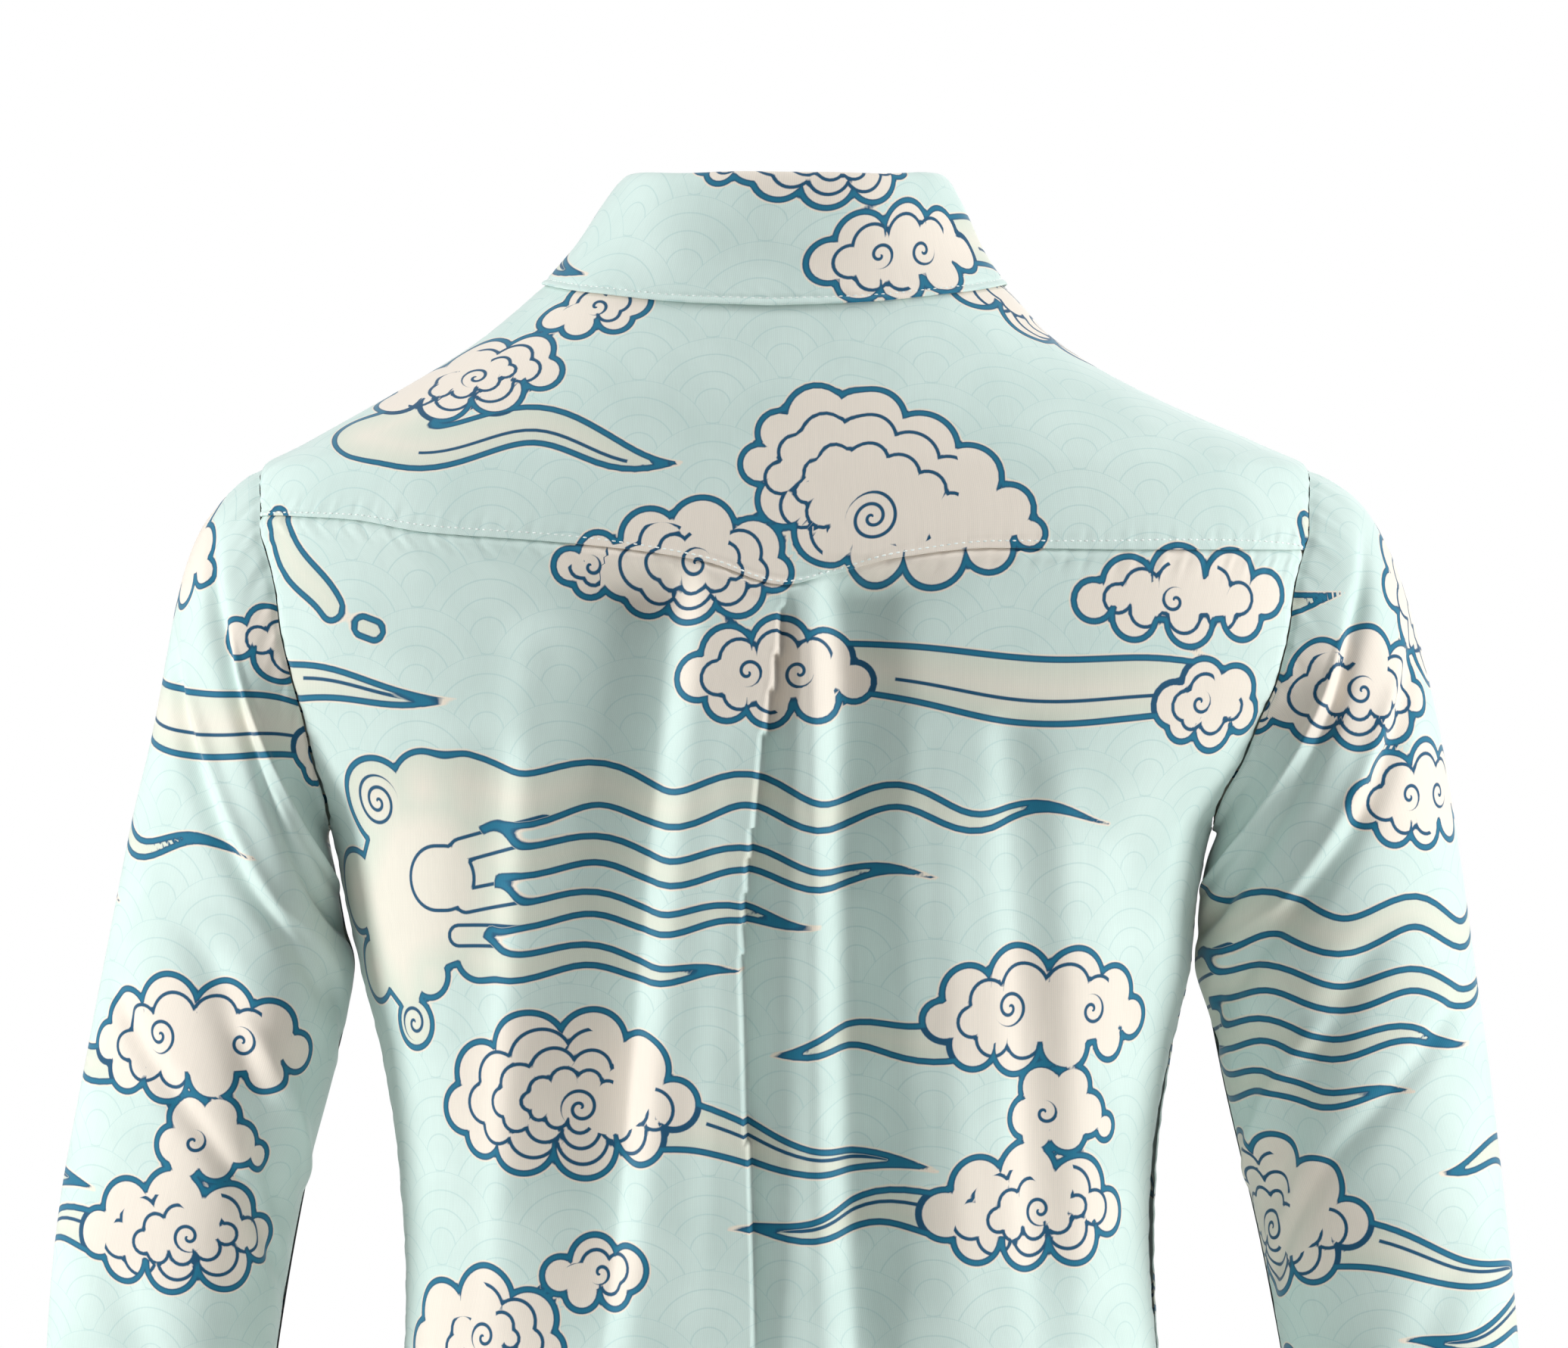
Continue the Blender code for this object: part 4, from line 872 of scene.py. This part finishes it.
def makeSleeve(side):
    station = np.linspace(-180, 180, sleeve["columns"])
    coarse = np.linspace(0, 16, 161)
    middle = sleeveRing(coarse, np.array([0.0, 90.0, 180.0]), side)
    way = runs(middle, 0).mean(axis=1)
    down = evenly(0, way[-1], sleeve["step"], near=(0, way[-1]), fine=0.8)
    ring = np.interp(down, way, coarse)
    base = sleeveRing(ring, station, side)
    inside = base.mean(axis=1, keepdims=True)
    out = panel(base, inside, base[..., :2])["out"]
    head, foot = down[:, None], (down[-1] - down)[:, None]
    around = runs(base, 1)
    lift = sleeveFoldLift(ring, station)
    lift = lift + seamed("sleeveHead", head, around, 0.8 + side)
    lift = lift + seamed("sleeveFoot", foot, around, 1.6 + side)
    sway = ripple(station * 0.9 + 30 * np.sin(down / 60)[:, None], 2.0 + side, 90)
    lift = lift + 0.8 * sway * eased(foot / 60) * eased(head / 50)
    back = np.abs(station - 90).argmin()
    level, fall = runs(base[..., :2], 1), runs(base, 0)
    x = -base[:, [back], 0] + side * (level - level[:, [back]])
    printed = stacked(x, base[-1, :, 2] + fall[-1] - fall) + sleeve["printAt"][side]
    cut = stacked(side * (around - around[:, [back]]), -down[:, None] + 0 * around)
    return panel(base + lift[..., None] * out, inside, printed, cut)


def makeCuff(sleeveCloth, side):
    ring = sleeveCloth["points"]
    middle = ring.mean(axis=1)
    direction = middle[-1] - middle[-12]
    direction /= np.linalg.norm(direction)
    height, stitchIn = sleeve["cuffHeight"], sleeve["cuffStitchIn"]
    down = evenly(-sleeve["cuffLap"], height, 2.0, near=(0, 3, height - 3, height), fine=0.7)
    station = np.linspace(-180, 180, sleeve["columns"])
    last = sleeveRing(np.array([16.0]), station, side)[0]
    base = last + down[:, None, None] * direction
    inside = base.mean(axis=1, keepdims=True)
    out = panel(base, inside, base[..., :2])["out"]
    around, head, foot = runs(base, 1), down[:, None], (height - down)[:, None]
    lift = np.where(head < 0, -0.8, 0.7)
    lift = lift + groove(head - stitchIn, 0.4, 0.9) + groove(foot - stitchIn, 0.4, 0.9)
    lift = lift + seamed("cuff", head, around, 2.0) + 0.35 * ripple(around, 1.1 + side, 60)
    printed = stacked(side * (around - around[:, [0]]), base[..., 2]) + sleeve["cuffPrintAt"]
    return panel(base + lift[..., None] * out, inside, printed)


# Collar: a stand round the neck, its ends lapped, and a leaf folded over it
collar = {
    "angle": [0, 30, 60, 90, 112, 130, 150, 165, 180],
    "topZ": [33, 33, 33.5, 33, 24, 8, -16, -31, -38],
    "edgeZ": [-20.5, -19, -14.5, -10, -22, -42, -70, -88, -98],
    "topHalfWidth": 64.5, "topBack": 53, "topFront": 60,
    "edgeAt": 172, "spreadFrom": 100, "tipAt": 145, "clearance": 1.5,
    "fold": [(0.2, 2.2), (1.6, 4.4), (4.2, 5.2), (6.8, 3.6)],
    "fall": [0.2, 0.42, 0.66, 0.86, 1], "bow": [0.4, -0.4, -1.6, -1.0, 0],
    "step": 1.9, "stitchIn": 3.0,
}


def standTop(turn):
    depth = np.where(np.cos(turn) >= 0, collar["topBack"], collar["topFront"])
    height = through(collar["angle"], collar["topZ"], np.degrees(np.abs(turn)))
    return stacked(collar["topHalfWidth"] * np.sin(turn), depth * np.cos(turn), height)


def makeStand():
    ends = 360 - abs(float(neckAngle(np.array(15.0))))
    angles = np.linspace(-ends, ends, 236)
    onceRound = (angles + 180) % 360 - 180
    foot = smoothTorso(onceRound, neckHeight(onceRound))
    turn = np.arctan2(foot[:, 0], foot[:, 1])
    top = standTop(turn)
    rows = np.linspace(0, 1, 18)[:, None, None]
    base = foot + rows * (top - foot)
    inside = stacked(0 * angles, 0 * angles, base.mean(axis=0)[:, 2])
    out = panel(base, inside, base[..., :2])["out"]
    reach, laps = (abs(float(neckAngle(np.array(x)))) for x in (34.0, 15.0))
    over = np.where(angles > 0, eased((angles - reach) / (laps - reach)), 0) * 1.8
    head, around = np.linalg.norm(top - foot, axis=-1) * rows[..., 0], runs(base, 1)
    lift = over - 1.0 + seamed("stand", head, around, 0.5)
    printed = stacked(-around - 60, head - 62)
    return panel(base + lift[..., None] * out, inside, printed)


def makeLeaf():
    angles = np.linspace(-collar["edgeAt"], collar["edgeAt"], 250)
    turn = np.radians(angles)
    top = standTop(turn)
    out = stacked(np.sin(turn), np.cos(turn), 0 * turn)
    spread = collar["spreadFrom"]
    beyond = np.clip((np.abs(angles) - spread) / (collar["edgeAt"] - spread), 0, 1)
    reach = np.minimum(np.abs(angles), spread) + beyond * (collar["tipAt"] - spread)
    edgeZ = through(collar["angle"], collar["edgeZ"], np.abs(angles))
    sine, cosine = np.sin(np.radians(np.sign(angles) * reach)), np.cos(np.radians(reach))
    deep = np.where(cosine >= 0, torsoSize("back", edgeZ), torsoSize("front", edgeZ))
    edgeTurn = np.degrees(np.arctan2(sine / torsoSize("halfWidth", edgeZ), cosine / deep))
    edge = torsoPoint(edgeTurn, edgeZ) + collar["clearance"] * facing(smoothTorso, edgeTurn, edgeZ)
    rows = [top + across * out + np.array([0, 0, up]) for across, up in collar["fold"]]
    for share, bow in zip(collar["fall"], collar["bow"]):
        rows.append(rows[3] + (edge - rows[3]) * share + bow * out)
    rows = np.array([top - np.array([0, 0, 3.0])] + rows)
    way = runs(rows, 0).mean(axis=1)
    down = evenly(0, way[-1], collar["step"], near=(0, 8, way[-1] - 3, way[-1]), fine=0.8)
    base = through(way, rows, down)
    inside = stacked(0 * angles, 0 * angles, base.mean(axis=0)[:, 2] - 15)
    outward = panel(base, inside, base[..., :2])["out"]
    along, foot = runs(base, 1), edgeDistances(base)["foot"]
    ends, stitchIn = np.minimum(along, along[:, -1:] - along), collar["stitchIn"]
    lift = seamed("leaf", foot, along, 2.6) + 0.5 * ripple(along, 4.0, 85) * eased(foot / 30)
    lift = lift + groove(foot - stitchIn, 0.55, 0.9) + groove(ends - stitchIn, 0.45, 0.9)
    printed = stacked(-0.9 * (along[-1] - along[-1].mean()) - 60 + 0 * along, foot - 200)
    return panel(base + lift[..., None] * outward, inside, printed)


# Placket: an under strip and an over strip down the front's slit
placket = {
    "halfWidth": 15, "cover": 2, "footZ": -251, "rise": 2.1, "sunk": -0.6,
    "slitHalfWidth": 13.5, "slitFootZ": -247, "stitchIn": 2.6, "boxUp": 24.0,
}


def makeStrip(halfWidth, footZ, out):
    x = np.linspace(-halfWidth, halfWidth, 28)
    headZ = neckHeight(neckAngle(x)) - 1
    down = np.linspace(0, 1, 96)[:, None]
    z = headZ + down * (footZ - headZ)
    angle = angleAt(np.broadcast_to(x, z.shape), z, False) % 360
    base = torsoPoint(angle, z)
    edge = np.minimum(halfWidth - np.abs(x), edgeDistances(base)["foot"])
    lift = out + groove(edge - placket["stitchIn"], 0.35, 0.9) + 0.3 * ripple(z, 0.4 + out, 26)
    points = base + lift[..., None] * facing(smoothTorso, angle, z)
    printed = stacked(x + 0 * z, z) + body["printAt"]
    return panel(points, inMiddle, printed)


# Buttons: a dished disc with a rounded rim and four holes, sewn on with crossed thread. The profile
# runs from the dish over the rim to the underside.
button = {
    "profile": [(4.4, 1.5), (4.62, 2.1), (5.005, 2.2), (5.4, 1.584), (5.5, 0.99), (5.2, 0.33), (4.3, 0)],
    "steps": 40, "holeRadius": 0.75, "holeAt": 1.35, "holeDepth": 1.2, "thread": (1.755, 0.45, 0.45),
    "collarZ": -54, "placketZ": (-125, -195), "offStand": 1.6, "offStrip": 0.5,
}


def openEdges(bm, z):
    return [edge for edge in bm.edges
            if edge.is_boundary and all(abs(vert.co.z - z) < 1e-6 for vert in edge.verts)]


def makeButton(name, centre, out):
    bm, thread = bmesh.new(), bmesh.new()
    verts = [bm.verts.new((x * mm, 0, z * mm)) for x, z in button["profile"]]
    edges = [bm.edges.new(pair) for pair in zip(verts, verts[1:])]
    bmesh.ops.spin(bm, geom=verts + edges, cent=(0, 0, 0), axis=(0, 0, 1), angle=2 * math.pi,
                   steps=button["steps"], use_merge=True)
    faceZ = button["profile"][0][1] * mm
    rim, holes = openEdges(bm, faceZ), []
    for i in range(4):
        spot = Vector((button["holeAt"] * mm, 0, faceZ))
        spot = Matrix.Rotation(math.pi / 4 + i * math.pi / 2, 4, "Z") @ spot
        ring = bmesh.ops.create_circle(bm, segments=12, radius=button["holeRadius"] * mm,
                                       matrix=Matrix.Translation(spot))
        holes += list({edge for vert in ring["verts"] for edge in vert.link_edges})
    bmesh.ops.triangle_fill(bm, edges=rim + holes, use_beauty=True, use_dissolve=False)
    wall = bmesh.ops.extrude_edge_only(bm, edges=holes)["geom"]
    sunk = [item for item in wall if isinstance(item, bmesh.types.BMVert)]
    bmesh.ops.translate(bm, verts=sunk, vec=(0, 0, -button["holeDepth"] * mm))
    bmesh.ops.edgeloop_fill(bm, edges=openEdges(bm, 0))
    bmesh.ops.recalc_face_normals(bm, faces=bm.faces)
    for turn in (math.pi / 4, -math.pi / 4):
        place = Matrix.Translation((0, 0, faceZ + 0.1 * mm)) @ Matrix.Rotation(turn, 4, "Z")
        size = Matrix.Diagonal(Vector(button["thread"]) * mm).to_4x4()
        bmesh.ops.create_uvsphere(thread, u_segments=12, v_segments=8, radius=1, matrix=place @ size)
    turned = Matrix.Translation(Vector(centre) * mm)
    turned = turned @ Vector(out).to_track_quat("Z", "Y").to_matrix().to_4x4()
    for shape in (bm, thread):
        bmesh.ops.transform(shape, matrix=turned, verts=shape.verts)
    return newPiece(name, bm, pearlPolyester), newPiece(name + "_thread", thread, polyesterThread)


# Materials
def linear(hexColor):
    parts = [int(hexColor[i:i + 2], 16) / 255 for i in (1, 3, 5)]
    return [part / 12.92 if part <= 0.04045 else ((part + 0.055) / 1.055) ** 2.4 for part in parts] + [1]


def addNode(tree, kind, inputs=None, output=0, **settings):
    made = tree.nodes.new("ShaderNode" + kind)
    for name, value in settings.items():
        setattr(made, name, value)
    for place, value in (inputs or {}).items():
        if isinstance(value, bpy.types.NodeSocket):
            tree.links.new(value, made.inputs[place])
        else:
            made.inputs[place].default_value = value
    return made.outputs if output is None else made.outputs[output]


def newMaterial(name):
    material = bpy.data.materials.new(name)
    material.use_nodes = True
    material.node_tree.nodes.clear()
    return material, material.node_tree


# Woven shirting of fine vertical ribs in polyester and cotton, printed with dye: matte with a soft
# sheen across the ribs, and the printed lines lie in the weave, not on it. Its sizes are in millimetres.
shirting = {
    "ground": "#D8EBE5", "groundDeep": "#CADFD9", "cream": "#F1E7DA", "mist": "#DCE1D2",
    "mistPale": "#ECE6D8", "line": "#067090", "lineEdge": "#004E72", "halo": "#EFE6D6", "wave": "#B4D3D0",
    "outline": 2.9, "innerLine": 1.6, "lineCore": (0.5, 1.2), "haloWidth": 0.7, "curlPitch": 5.4,
    "markInset": 1.5, "mistFade": (3.0, 16.0), "soft": 0.22,
    "waveRadius": 32.6, "waveStep": 8.2, "waveRise": 20.4, "waveLine": 0.55, "waveShare": 0.6,
    "ribPitch": 0.85, "weftPitch": 0.6, "blotchScale": 26.0, "slubScale": (900.0, 60.0, 1.0),
    "shade": (0.90, 1.02), "bumpHeight": 0.12,
    "shader": {"Roughness": 0.72, "IOR": 1.46, "Specular IOR Level": 0.35, "Sheen Weight": 0.35,
               "Sheen Roughness": 0.45},
}


def makeShirting(name):
    look, (material, tree) = shirting, newMaterial(name)
    fields = []
    for field in ("cloud", "curl", "mist", "ground"):
        vector = addNode(tree, "Attribute", output="Vector", attribute_name=field)
        fields += addNode(tree, "SeparateXYZ", {0: vector}, output=None)
    cloud, rows, rowsShown, curlX, curlY, curlShown, mist, marks, marksShown, u, v, _ = fields

    # The waves: fans of rings in rows, each row half a fan over, and the lowest in front
    radius, rise, nearest = look["waveRadius"], look["waveRise"], 0.0
    lowest = addNode(tree, "Math", {0: v, 1: radius}, operation="SUBTRACT")
    lowest = addNode(tree, "Math", {0: lowest, 1: rise}, operation="DIVIDE")
    lowest = addNode(tree, "Math", {0: lowest}, operation="CEIL")
    for number in (2, 1, 0):
        step = addNode(tree, "Math", {0: lowest, 1: number}, operation="ADD")
        odd = addNode(tree, "Math", {0: step, 1: 2}, operation="FLOORED_MODULO")
        across = addNode(tree, "Math", {0: odd, 1: -radius, 2: u}, operation="MULTIPLY_ADD")
        across = addNode(tree, "Math", {0: across, 1: radius}, operation="PINGPONG")
        up = addNode(tree, "Math", {0: step, 1: -rise, 2: v}, operation="MULTIPLY_ADD")
        away = addNode(tree, "CombineXYZ", {0: across, 1: up})
        away = addNode(tree, "VectorMath", {0: away}, output=1, operation="LENGTH")
        covered = addNode(tree, "Math", {0: away, 1: radius}, operation="LESS_THAN")
        nearest = addNode(tree, "Mix", {0: covered, 2: nearest, 3: away})
    ring = addNode(tree, "Math", {0: radius, 1: nearest}, operation="SUBTRACT")
    ring = addNode(tree, "Math", {0: ring, 1: look["waveStep"] / 2}, operation="PINGPONG")

    # The curls: an even spiral in each heart
    away = addNode(tree, "CombineXYZ", {0: curlX, 1: curlY})
    away = addNode(tree, "VectorMath", {0: away}, output=1, operation="LENGTH")
    turn = addNode(tree, "Math", {0: curlY, 1: curlX}, operation="ARCTAN2")
    pitch = look["curlPitch"]
    arm = addNode(tree, "Math", {0: turn, 1: -pitch / (2 * math.pi), 2: away}, operation="MULTIPLY_ADD")
    arm = addNode(tree, "Math", {0: arm, 1: pitch / 2}, operation="PINGPONG")

    # Each share is 1 where its field is over the edge, or under it where the last value is -1
    figure = addNode(tree, "Math", {0: cloud, 1: mist}, operation="MAXIMUM")
    cloudLine, mistLine, figureLine, rowLine, markLine = (
        addNode(tree, "Math", {0: field}, operation="ABSOLUTE")
        for field in (cloud, mist, figure, rows, marks))
    outline, inner = look["outline"] / 2, look["innerLine"] / 2
    shares = {}
    for key, field, edge, side in (
            ("ring", ring, look["waveLine"] / 2, -1), ("fan", nearest, look["waveStep"] / 2, 1),
            ("halo", figure, -outline - look["haloWidth"], 1), ("figure", figure, 0, 1),
            ("cloud", cloud, 0, 1), ("cloudLine", cloudLine, outline, -1),
            ("mist", mist, 0, 1), ("mistLine", mistLine, outline, -1),
            ("mistInset", mist, look["markInset"], 1),
            ("row", rowLine, inner, -1), ("rowShown", rowsShown, 0, 1),
            ("mark", markLine, inner, -1), ("markShown", marksShown, 0, 1),
            ("arm", arm, inner, -1), ("curlShown", curlShown, 0, 1)):
        soft = side * look["soft"]
        shares[key] = addNode(tree, "MapRange", {0: field, 1: edge - soft, 2: edge + soft})
    for key, first, second in (
            ("wave", "ring", "fan"), ("mark", "mark", "markShown"), ("mark", "mark", "mistInset"),
            ("row", "row", "rowShown"), ("row", "row", "cloud"), ("curl", "arm", "curlShown"),
            ("curl", "curl", "figure")):
        shares[key] = addNode(tree, "Math", {0: shares[first], 1: shares[second]}, operation="MULTIPLY")
    wave = addNode(tree, "Math", {0: shares["wave"], 1: look["waveShare"]}, operation="MULTIPLY")
    mistLines = addNode(tree, "Math", {0: shares["mistLine"], 1: shares["mark"]}, operation="MAXIMUM")

    # The print's colours, laid one over the other
    weave = addNode(tree, "UVMap", uv_map="cut")
    blotch = addNode(tree, "TexNoise", {"Vector": weave, "Scale": look["blotchScale"], "Detail": 3})
    slub = addNode(tree, "Mapping", {"Vector": weave, "Scale": look["slubScale"]})
    slub = addNode(tree, "TexNoise", {"Vector": slub, "Scale": 1, "Detail": 2})
    colors = {key: linear(value) for key, value in look.items() if str(value).startswith("#")}
    deep = addNode(tree, "MapRange", {0: blotch, 1: 0.35, 2: 0.7, 4: 0.7})
    fade = addNode(tree, "MapRange", {0: mist, 1: look["mistFade"][0], 2: look["mistFade"][1]})
    core = addNode(tree, "MapRange", {0: figureLine, 1: look["lineCore"][0], 2: look["lineCore"][1]})
    for key, amount, other in (("mist", fade, "mistPale"), ("line", core, "lineEdge")):
        both = {0: amount, 6: colors[key], 7: colors[other]}
        colors[key] = addNode(tree, "Mix", both, output=2, data_type="RGBA")
    tint = colors["ground"]
    for amount, key in (
            (deep, "groundDeep"), (wave, "wave"), (shares["halo"], "halo"), (shares["mist"], "mist"),
            (mistLines, "line"), (shares["cloud"], "cream"), (shares["row"], "lineEdge"),
            (shares["cloudLine"], "line"), (shares["curl"], "lineEdge")):
        tint = addNode(tree, "Mix", {0: amount, 6: tint, 7: colors[key]}, output=2, data_type="RGBA")

    # The weave: warp ribs, and the weft that crosses them with its slubs. Their height also darkens the
    # colour, a painted shade in the grooves between the ribs, with the slubs' own yarn tone
    ribs = []
    across, along, _ = addNode(tree, "SeparateXYZ", {0: weave}, output=None)
    for place, pitch in ((across, look["ribPitch"]), (along, look["weftPitch"])):
        place = addNode(tree, "Math", {0: place, 1: pitch * mm / 2}, operation="DIVIDE")
        ribs.append(addNode(tree, "Math", {0: place, 1: 1}, operation="PINGPONG"))
    cross = addNode(tree, "Math", {0: ribs[1], 1: slub}, operation="MULTIPLY")
    cross = addNode(tree, "Math", {0: cross, 1: 1 / 3, 2: ribs[0]}, operation="MULTIPLY_ADD")
    cross = addNode(tree, "Math", {0: cross, 1: 0.75}, operation="MULTIPLY")
    # painted shade: the colour is darker where the ribs are low, plus the slubs' random yarn tone
    shade = addNode(tree, "Math", {0: slub, 1: 0.5, 2: cross}, operation="MULTIPLY_ADD")
    shade = addNode(tree, "MapRange", {0: shade, 1: 0.2, 2: 1.3, 3: look["shade"][0], 4: look["shade"][1]})
    tint = addNode(tree, "VectorMath", {0: tint, "Scale": shade}, operation="SCALE")
    bump = addNode(tree, "Bump", {"Strength": 0.25, "Distance": look["bumpHeight"] * mm, "Height": cross})
    shader = addNode(tree, "BsdfPrincipled", {"Base Color": tint, "Normal": bump, **look["shader"]})
    addNode(tree, "OutputMaterial", {0: shader}, output=None)
    return material


# Twisted polyester sewing thread: the cloth's own pale green, a little glossier than the weave
threadLook = {
    "colors": ("#DCEBE5", "#FFFFFF"), "noise": {"Scale": 900, "Detail": 2}, "bump": (0.3, 0.05),
    "shader": {"Roughness": 0.5, "IOR": 1.5},
}
# Cast polyester button stock with a pearl filler: glossy, cloudy and faintly layered
pearlLook = {
    "colors": ("#D6E2DC", "#F6F8F3"), "noise": {"Scale": 260, "Detail": 3, "Distortion": 2.5},
    "roughness": (0.16, 0.3), "shader": {"IOR": 1.55, "Coat Weight": 0.3, "Coat Roughness": 0.08},
}
# Board painted matte white, for the floor
boardLook = {"colors": ("#F1F1EF", "#F6F6F4"), "noise": {"Scale": 40}, "shader": {"Roughness": 0.9}}


def makeMottled(name, look):  # a material that varies between two colours, and may have relief
    material, tree = newMaterial(name)
    place = addNode(tree, "TexCoord", output="Object")
    noise = addNode(tree, "TexNoise", {"Vector": place, **look["noise"]})
    first, second = (linear(color) for color in look["colors"])
    inputs = dict(look["shader"])
    inputs["Base Color"] = addNode(tree, "Mix", {0: noise, 6: first, 7: second}, output=2, data_type="RGBA")
    if "roughness" in look:
        low, high = look["roughness"]
        inputs["Roughness"] = addNode(tree, "MapRange", {0: noise, 3: low, 4: high})
    if "bump" in look:
        strength, height = look["bump"]
        relief = {"Strength": strength, "Distance": height * mm, "Height": noise}
        inputs["Normal"] = addNode(tree, "Bump", relief)
    shader = addNode(tree, "BsdfPrincipled", inputs)
    addNode(tree, "OutputMaterial", {0: shader}, output=None)
    return material


# Making everything
ribbedShirting = makeShirting("ribbedShirtingPrinted")
polyesterThread = makeMottled("polyesterThread", threadLook)
pearlPolyester = makeMottled("pearlPolyester", pearlLook)

backCloth, yokeCloth, frontCloth = makeBack(), makeYoke(), makeFront()
declare(makeCloth("backPanel", turnedIn(backCloth, 7)), "back")
declare(makeCloth("yokePanel", turnedIn(yokeCloth, 4, 0.8)), "yoke")
frontPiece = makeCloth("frontPanel", turnedIn(frontCloth, 6))
cutSlit(frontPiece, placket["slitHalfWidth"], placket["slitFootZ"])
declare(frontPiece, "front")
print("body panels made")

cuffs = {}
for name, side in (("left", 1), ("right", -1)):
    sleeveCloth = makeSleeve(side)
    cuffs[name] = makeCuff(sleeveCloth, side)
    sleeveName, (flat, area) = "sleeve" + name.title(), sleeve["flat"][side]
    declare(makeCloth(sleeveName, sleeveCloth), "sleeve_" + name)
    declare(makeCloth("cuff" + name.title(), turnedIn(cuffs[name], 6, 1.0)), "cuff_" + name)
print("sleeves and cuffs made")

standCloth, leafCloth = makeStand(), makeLeaf()
declare(makeCloth("collarStand", standCloth), "collar_stand")
declare(makeCloth("collarLeaf", hemmed(leafCloth, 0.9)), "collar_leaf")
underStrip = makeStrip(placket["halfWidth"], placket["slitFootZ"] + 1, placket["sunk"])
overStrip = makeStrip(placket["halfWidth"] + placket["cover"], placket["footZ"], placket["rise"])
declare(makeCloth("placketUnder", underStrip), "placket_under")
declare(makeCloth("placketOver", hemmed(overStrip, 0.7)), "placket_over")
print("collar and placket made")

foot = smoothTorso(np.array(180.0), neckHeight(180.0))
top = standTop(np.array(math.pi))
out = np.cross([1.0, 0, 0], top - foot)
out /= np.linalg.norm(out)
share = (button["collarZ"] - foot[2]) / (top[2] - foot[2])
places = {"button_collar": (foot + (top - foot) * share + button["offStand"] * out, out)}
for number, z in enumerate(button["placketZ"], 1):
    out = facing(smoothTorso, np.array(180.0), np.array(float(z)))
    centre = torsoPoint(180.0, float(z)) + (placket["rise"] + button["offStrip"]) * out
    places[f"button_placket_{number}"] = (centre, out)
for node, (centre, out) in places.items():
    disc, crossed = makeButton(node.replace("_", ""), centre, out)
    declare(disc, node)
    declare(crossed, None)
print("buttons made")

makeStitches("stitchesYoke", [rowNear(yokeCloth, body["yokeStitchIn"], "foot")])
makeStitches("stitchesCollar", [rowNear(leafCloth, collar["stitchIn"], edge)
                                for edge in ("foot", "left", "right")])
cuffStitch = sleeve["cuffStitchIn"]
cuffLines = [("top", cuffStitch + sleeve["cuffLap"]), ("foot", cuffStitch)]
makeStitches("stitchesCuffs", [rowNear(cuffs[name], away, edge) for name in cuffs
                               for edge, away in cuffLines])
makeStitches("stitchesHem", [rowNear(cloth, body["hemTurn"], "foot") for cloth in (backCloth, frontCloth)])
placketLines = [(placket["stitchIn"], edge) for edge in ("left", "right", "foot")]
placketLines += [(placket["boxUp"], "foot")]
makeStitches("stitchesPlacket", [rowNear(overStrip, away, edge) for away, edge in placketLines])
print("stitches made")

# Camera: a long lens straight on to the back
view = {"distance": 6.0, "subjectAt": 0.09, "frameWidth": 0.6763, "x": 0.0003, "z": -0.1797, "sensor": 36}
lens = bpy.data.cameras.new("camera")
lens.sensor_width = view["sensor"]
lens.lens = view["sensor"] * (view["distance"] - view["subjectAt"]) / view["frameWidth"]
lens.clip_end = 50
camera = bpy.data.objects.new("camera", lens)
camera.location = (view["x"], view["distance"], view["z"])
camera.rotation_euler = (math.radians(90), 0, math.radians(180))
bpy.context.scene.collection.objects.link(camera)
bpy.context.scene.camera = camera

# Light: two tall soft boxes that graze the back from its sides, two small ones over the shoulders
# and a wide one before the shirt. All face the middle of its upper half.
lightsFace = Vector((0, 0, -0.25))
lights = [
    {"name": "leftBox", "at": (2.2, 0.54, 0.15), "size": (0.6, 2.2), "power": 45},
    {"name": "rightBox", "at": (-2.2, 0.56, 0.15), "size": (0.6, 2.2), "power": 45},
    {"name": "leftTop", "at": (1.2, 0.3, 1.7), "size": (0.8, 0.8), "power": 12},
    {"name": "rightTop", "at": (-1.2, 0.3, 1.7), "size": (0.8, 0.8), "power": 12},
    {"name": "farBox", "at": (-0.7, -3.2, 0.8), "size": (1.8, 2.2), "power": 50},
]
for one in lights:
    data = bpy.data.lights.new(one["name"], "AREA")
    data.shape, data.size, data.size_y = "RECTANGLE", *one["size"]
    data.energy = one["power"]
    lamp = bpy.data.objects.new(one["name"], data)
    lamp.location = one["at"]
    lamp.rotation_euler = (lightsFace - lamp.location).to_track_quat("-Z", "Y").to_euler()
    bpy.context.scene.collection.objects.link(lamp)

# Studio: the camera sees plain white, and the shirt is lit by a pale grey
studio = {"color": "#F4F8FA", "strength": 0.208, "floorZ": -0.762, "floorRadius": 1.6}
world = bpy.data.worlds.new("studio")
bpy.context.scene.world = world
world.use_nodes = True
tree = world.node_tree
tree.nodes.clear()
seen = addNode(tree, "LightPath", output="Is Camera Ray")
white = addNode(tree, "Background", {0: (1, 1, 1, 1), 1: 1})
grey = addNode(tree, "Background", {0: linear(studio["color"]), 1: studio["strength"]})
mixed = addNode(tree, "MixShader", {0: seen, 1: grey, 2: white})
addNode(tree, "OutputWorld", {0: mixed}, output=None)
bpy.context.scene.view_settings.view_transform = "Standard"

# Floor: a pale disc
disc = bmesh.new()
place = Matrix.Translation((0, 0, studio["floorZ"]))
bmesh.ops.create_circle(disc, cap_ends=True, segments=128, radius=studio["floorRadius"], matrix=place)
newPiece("floor", disc, makeMottled("matteBoard", boardLook))
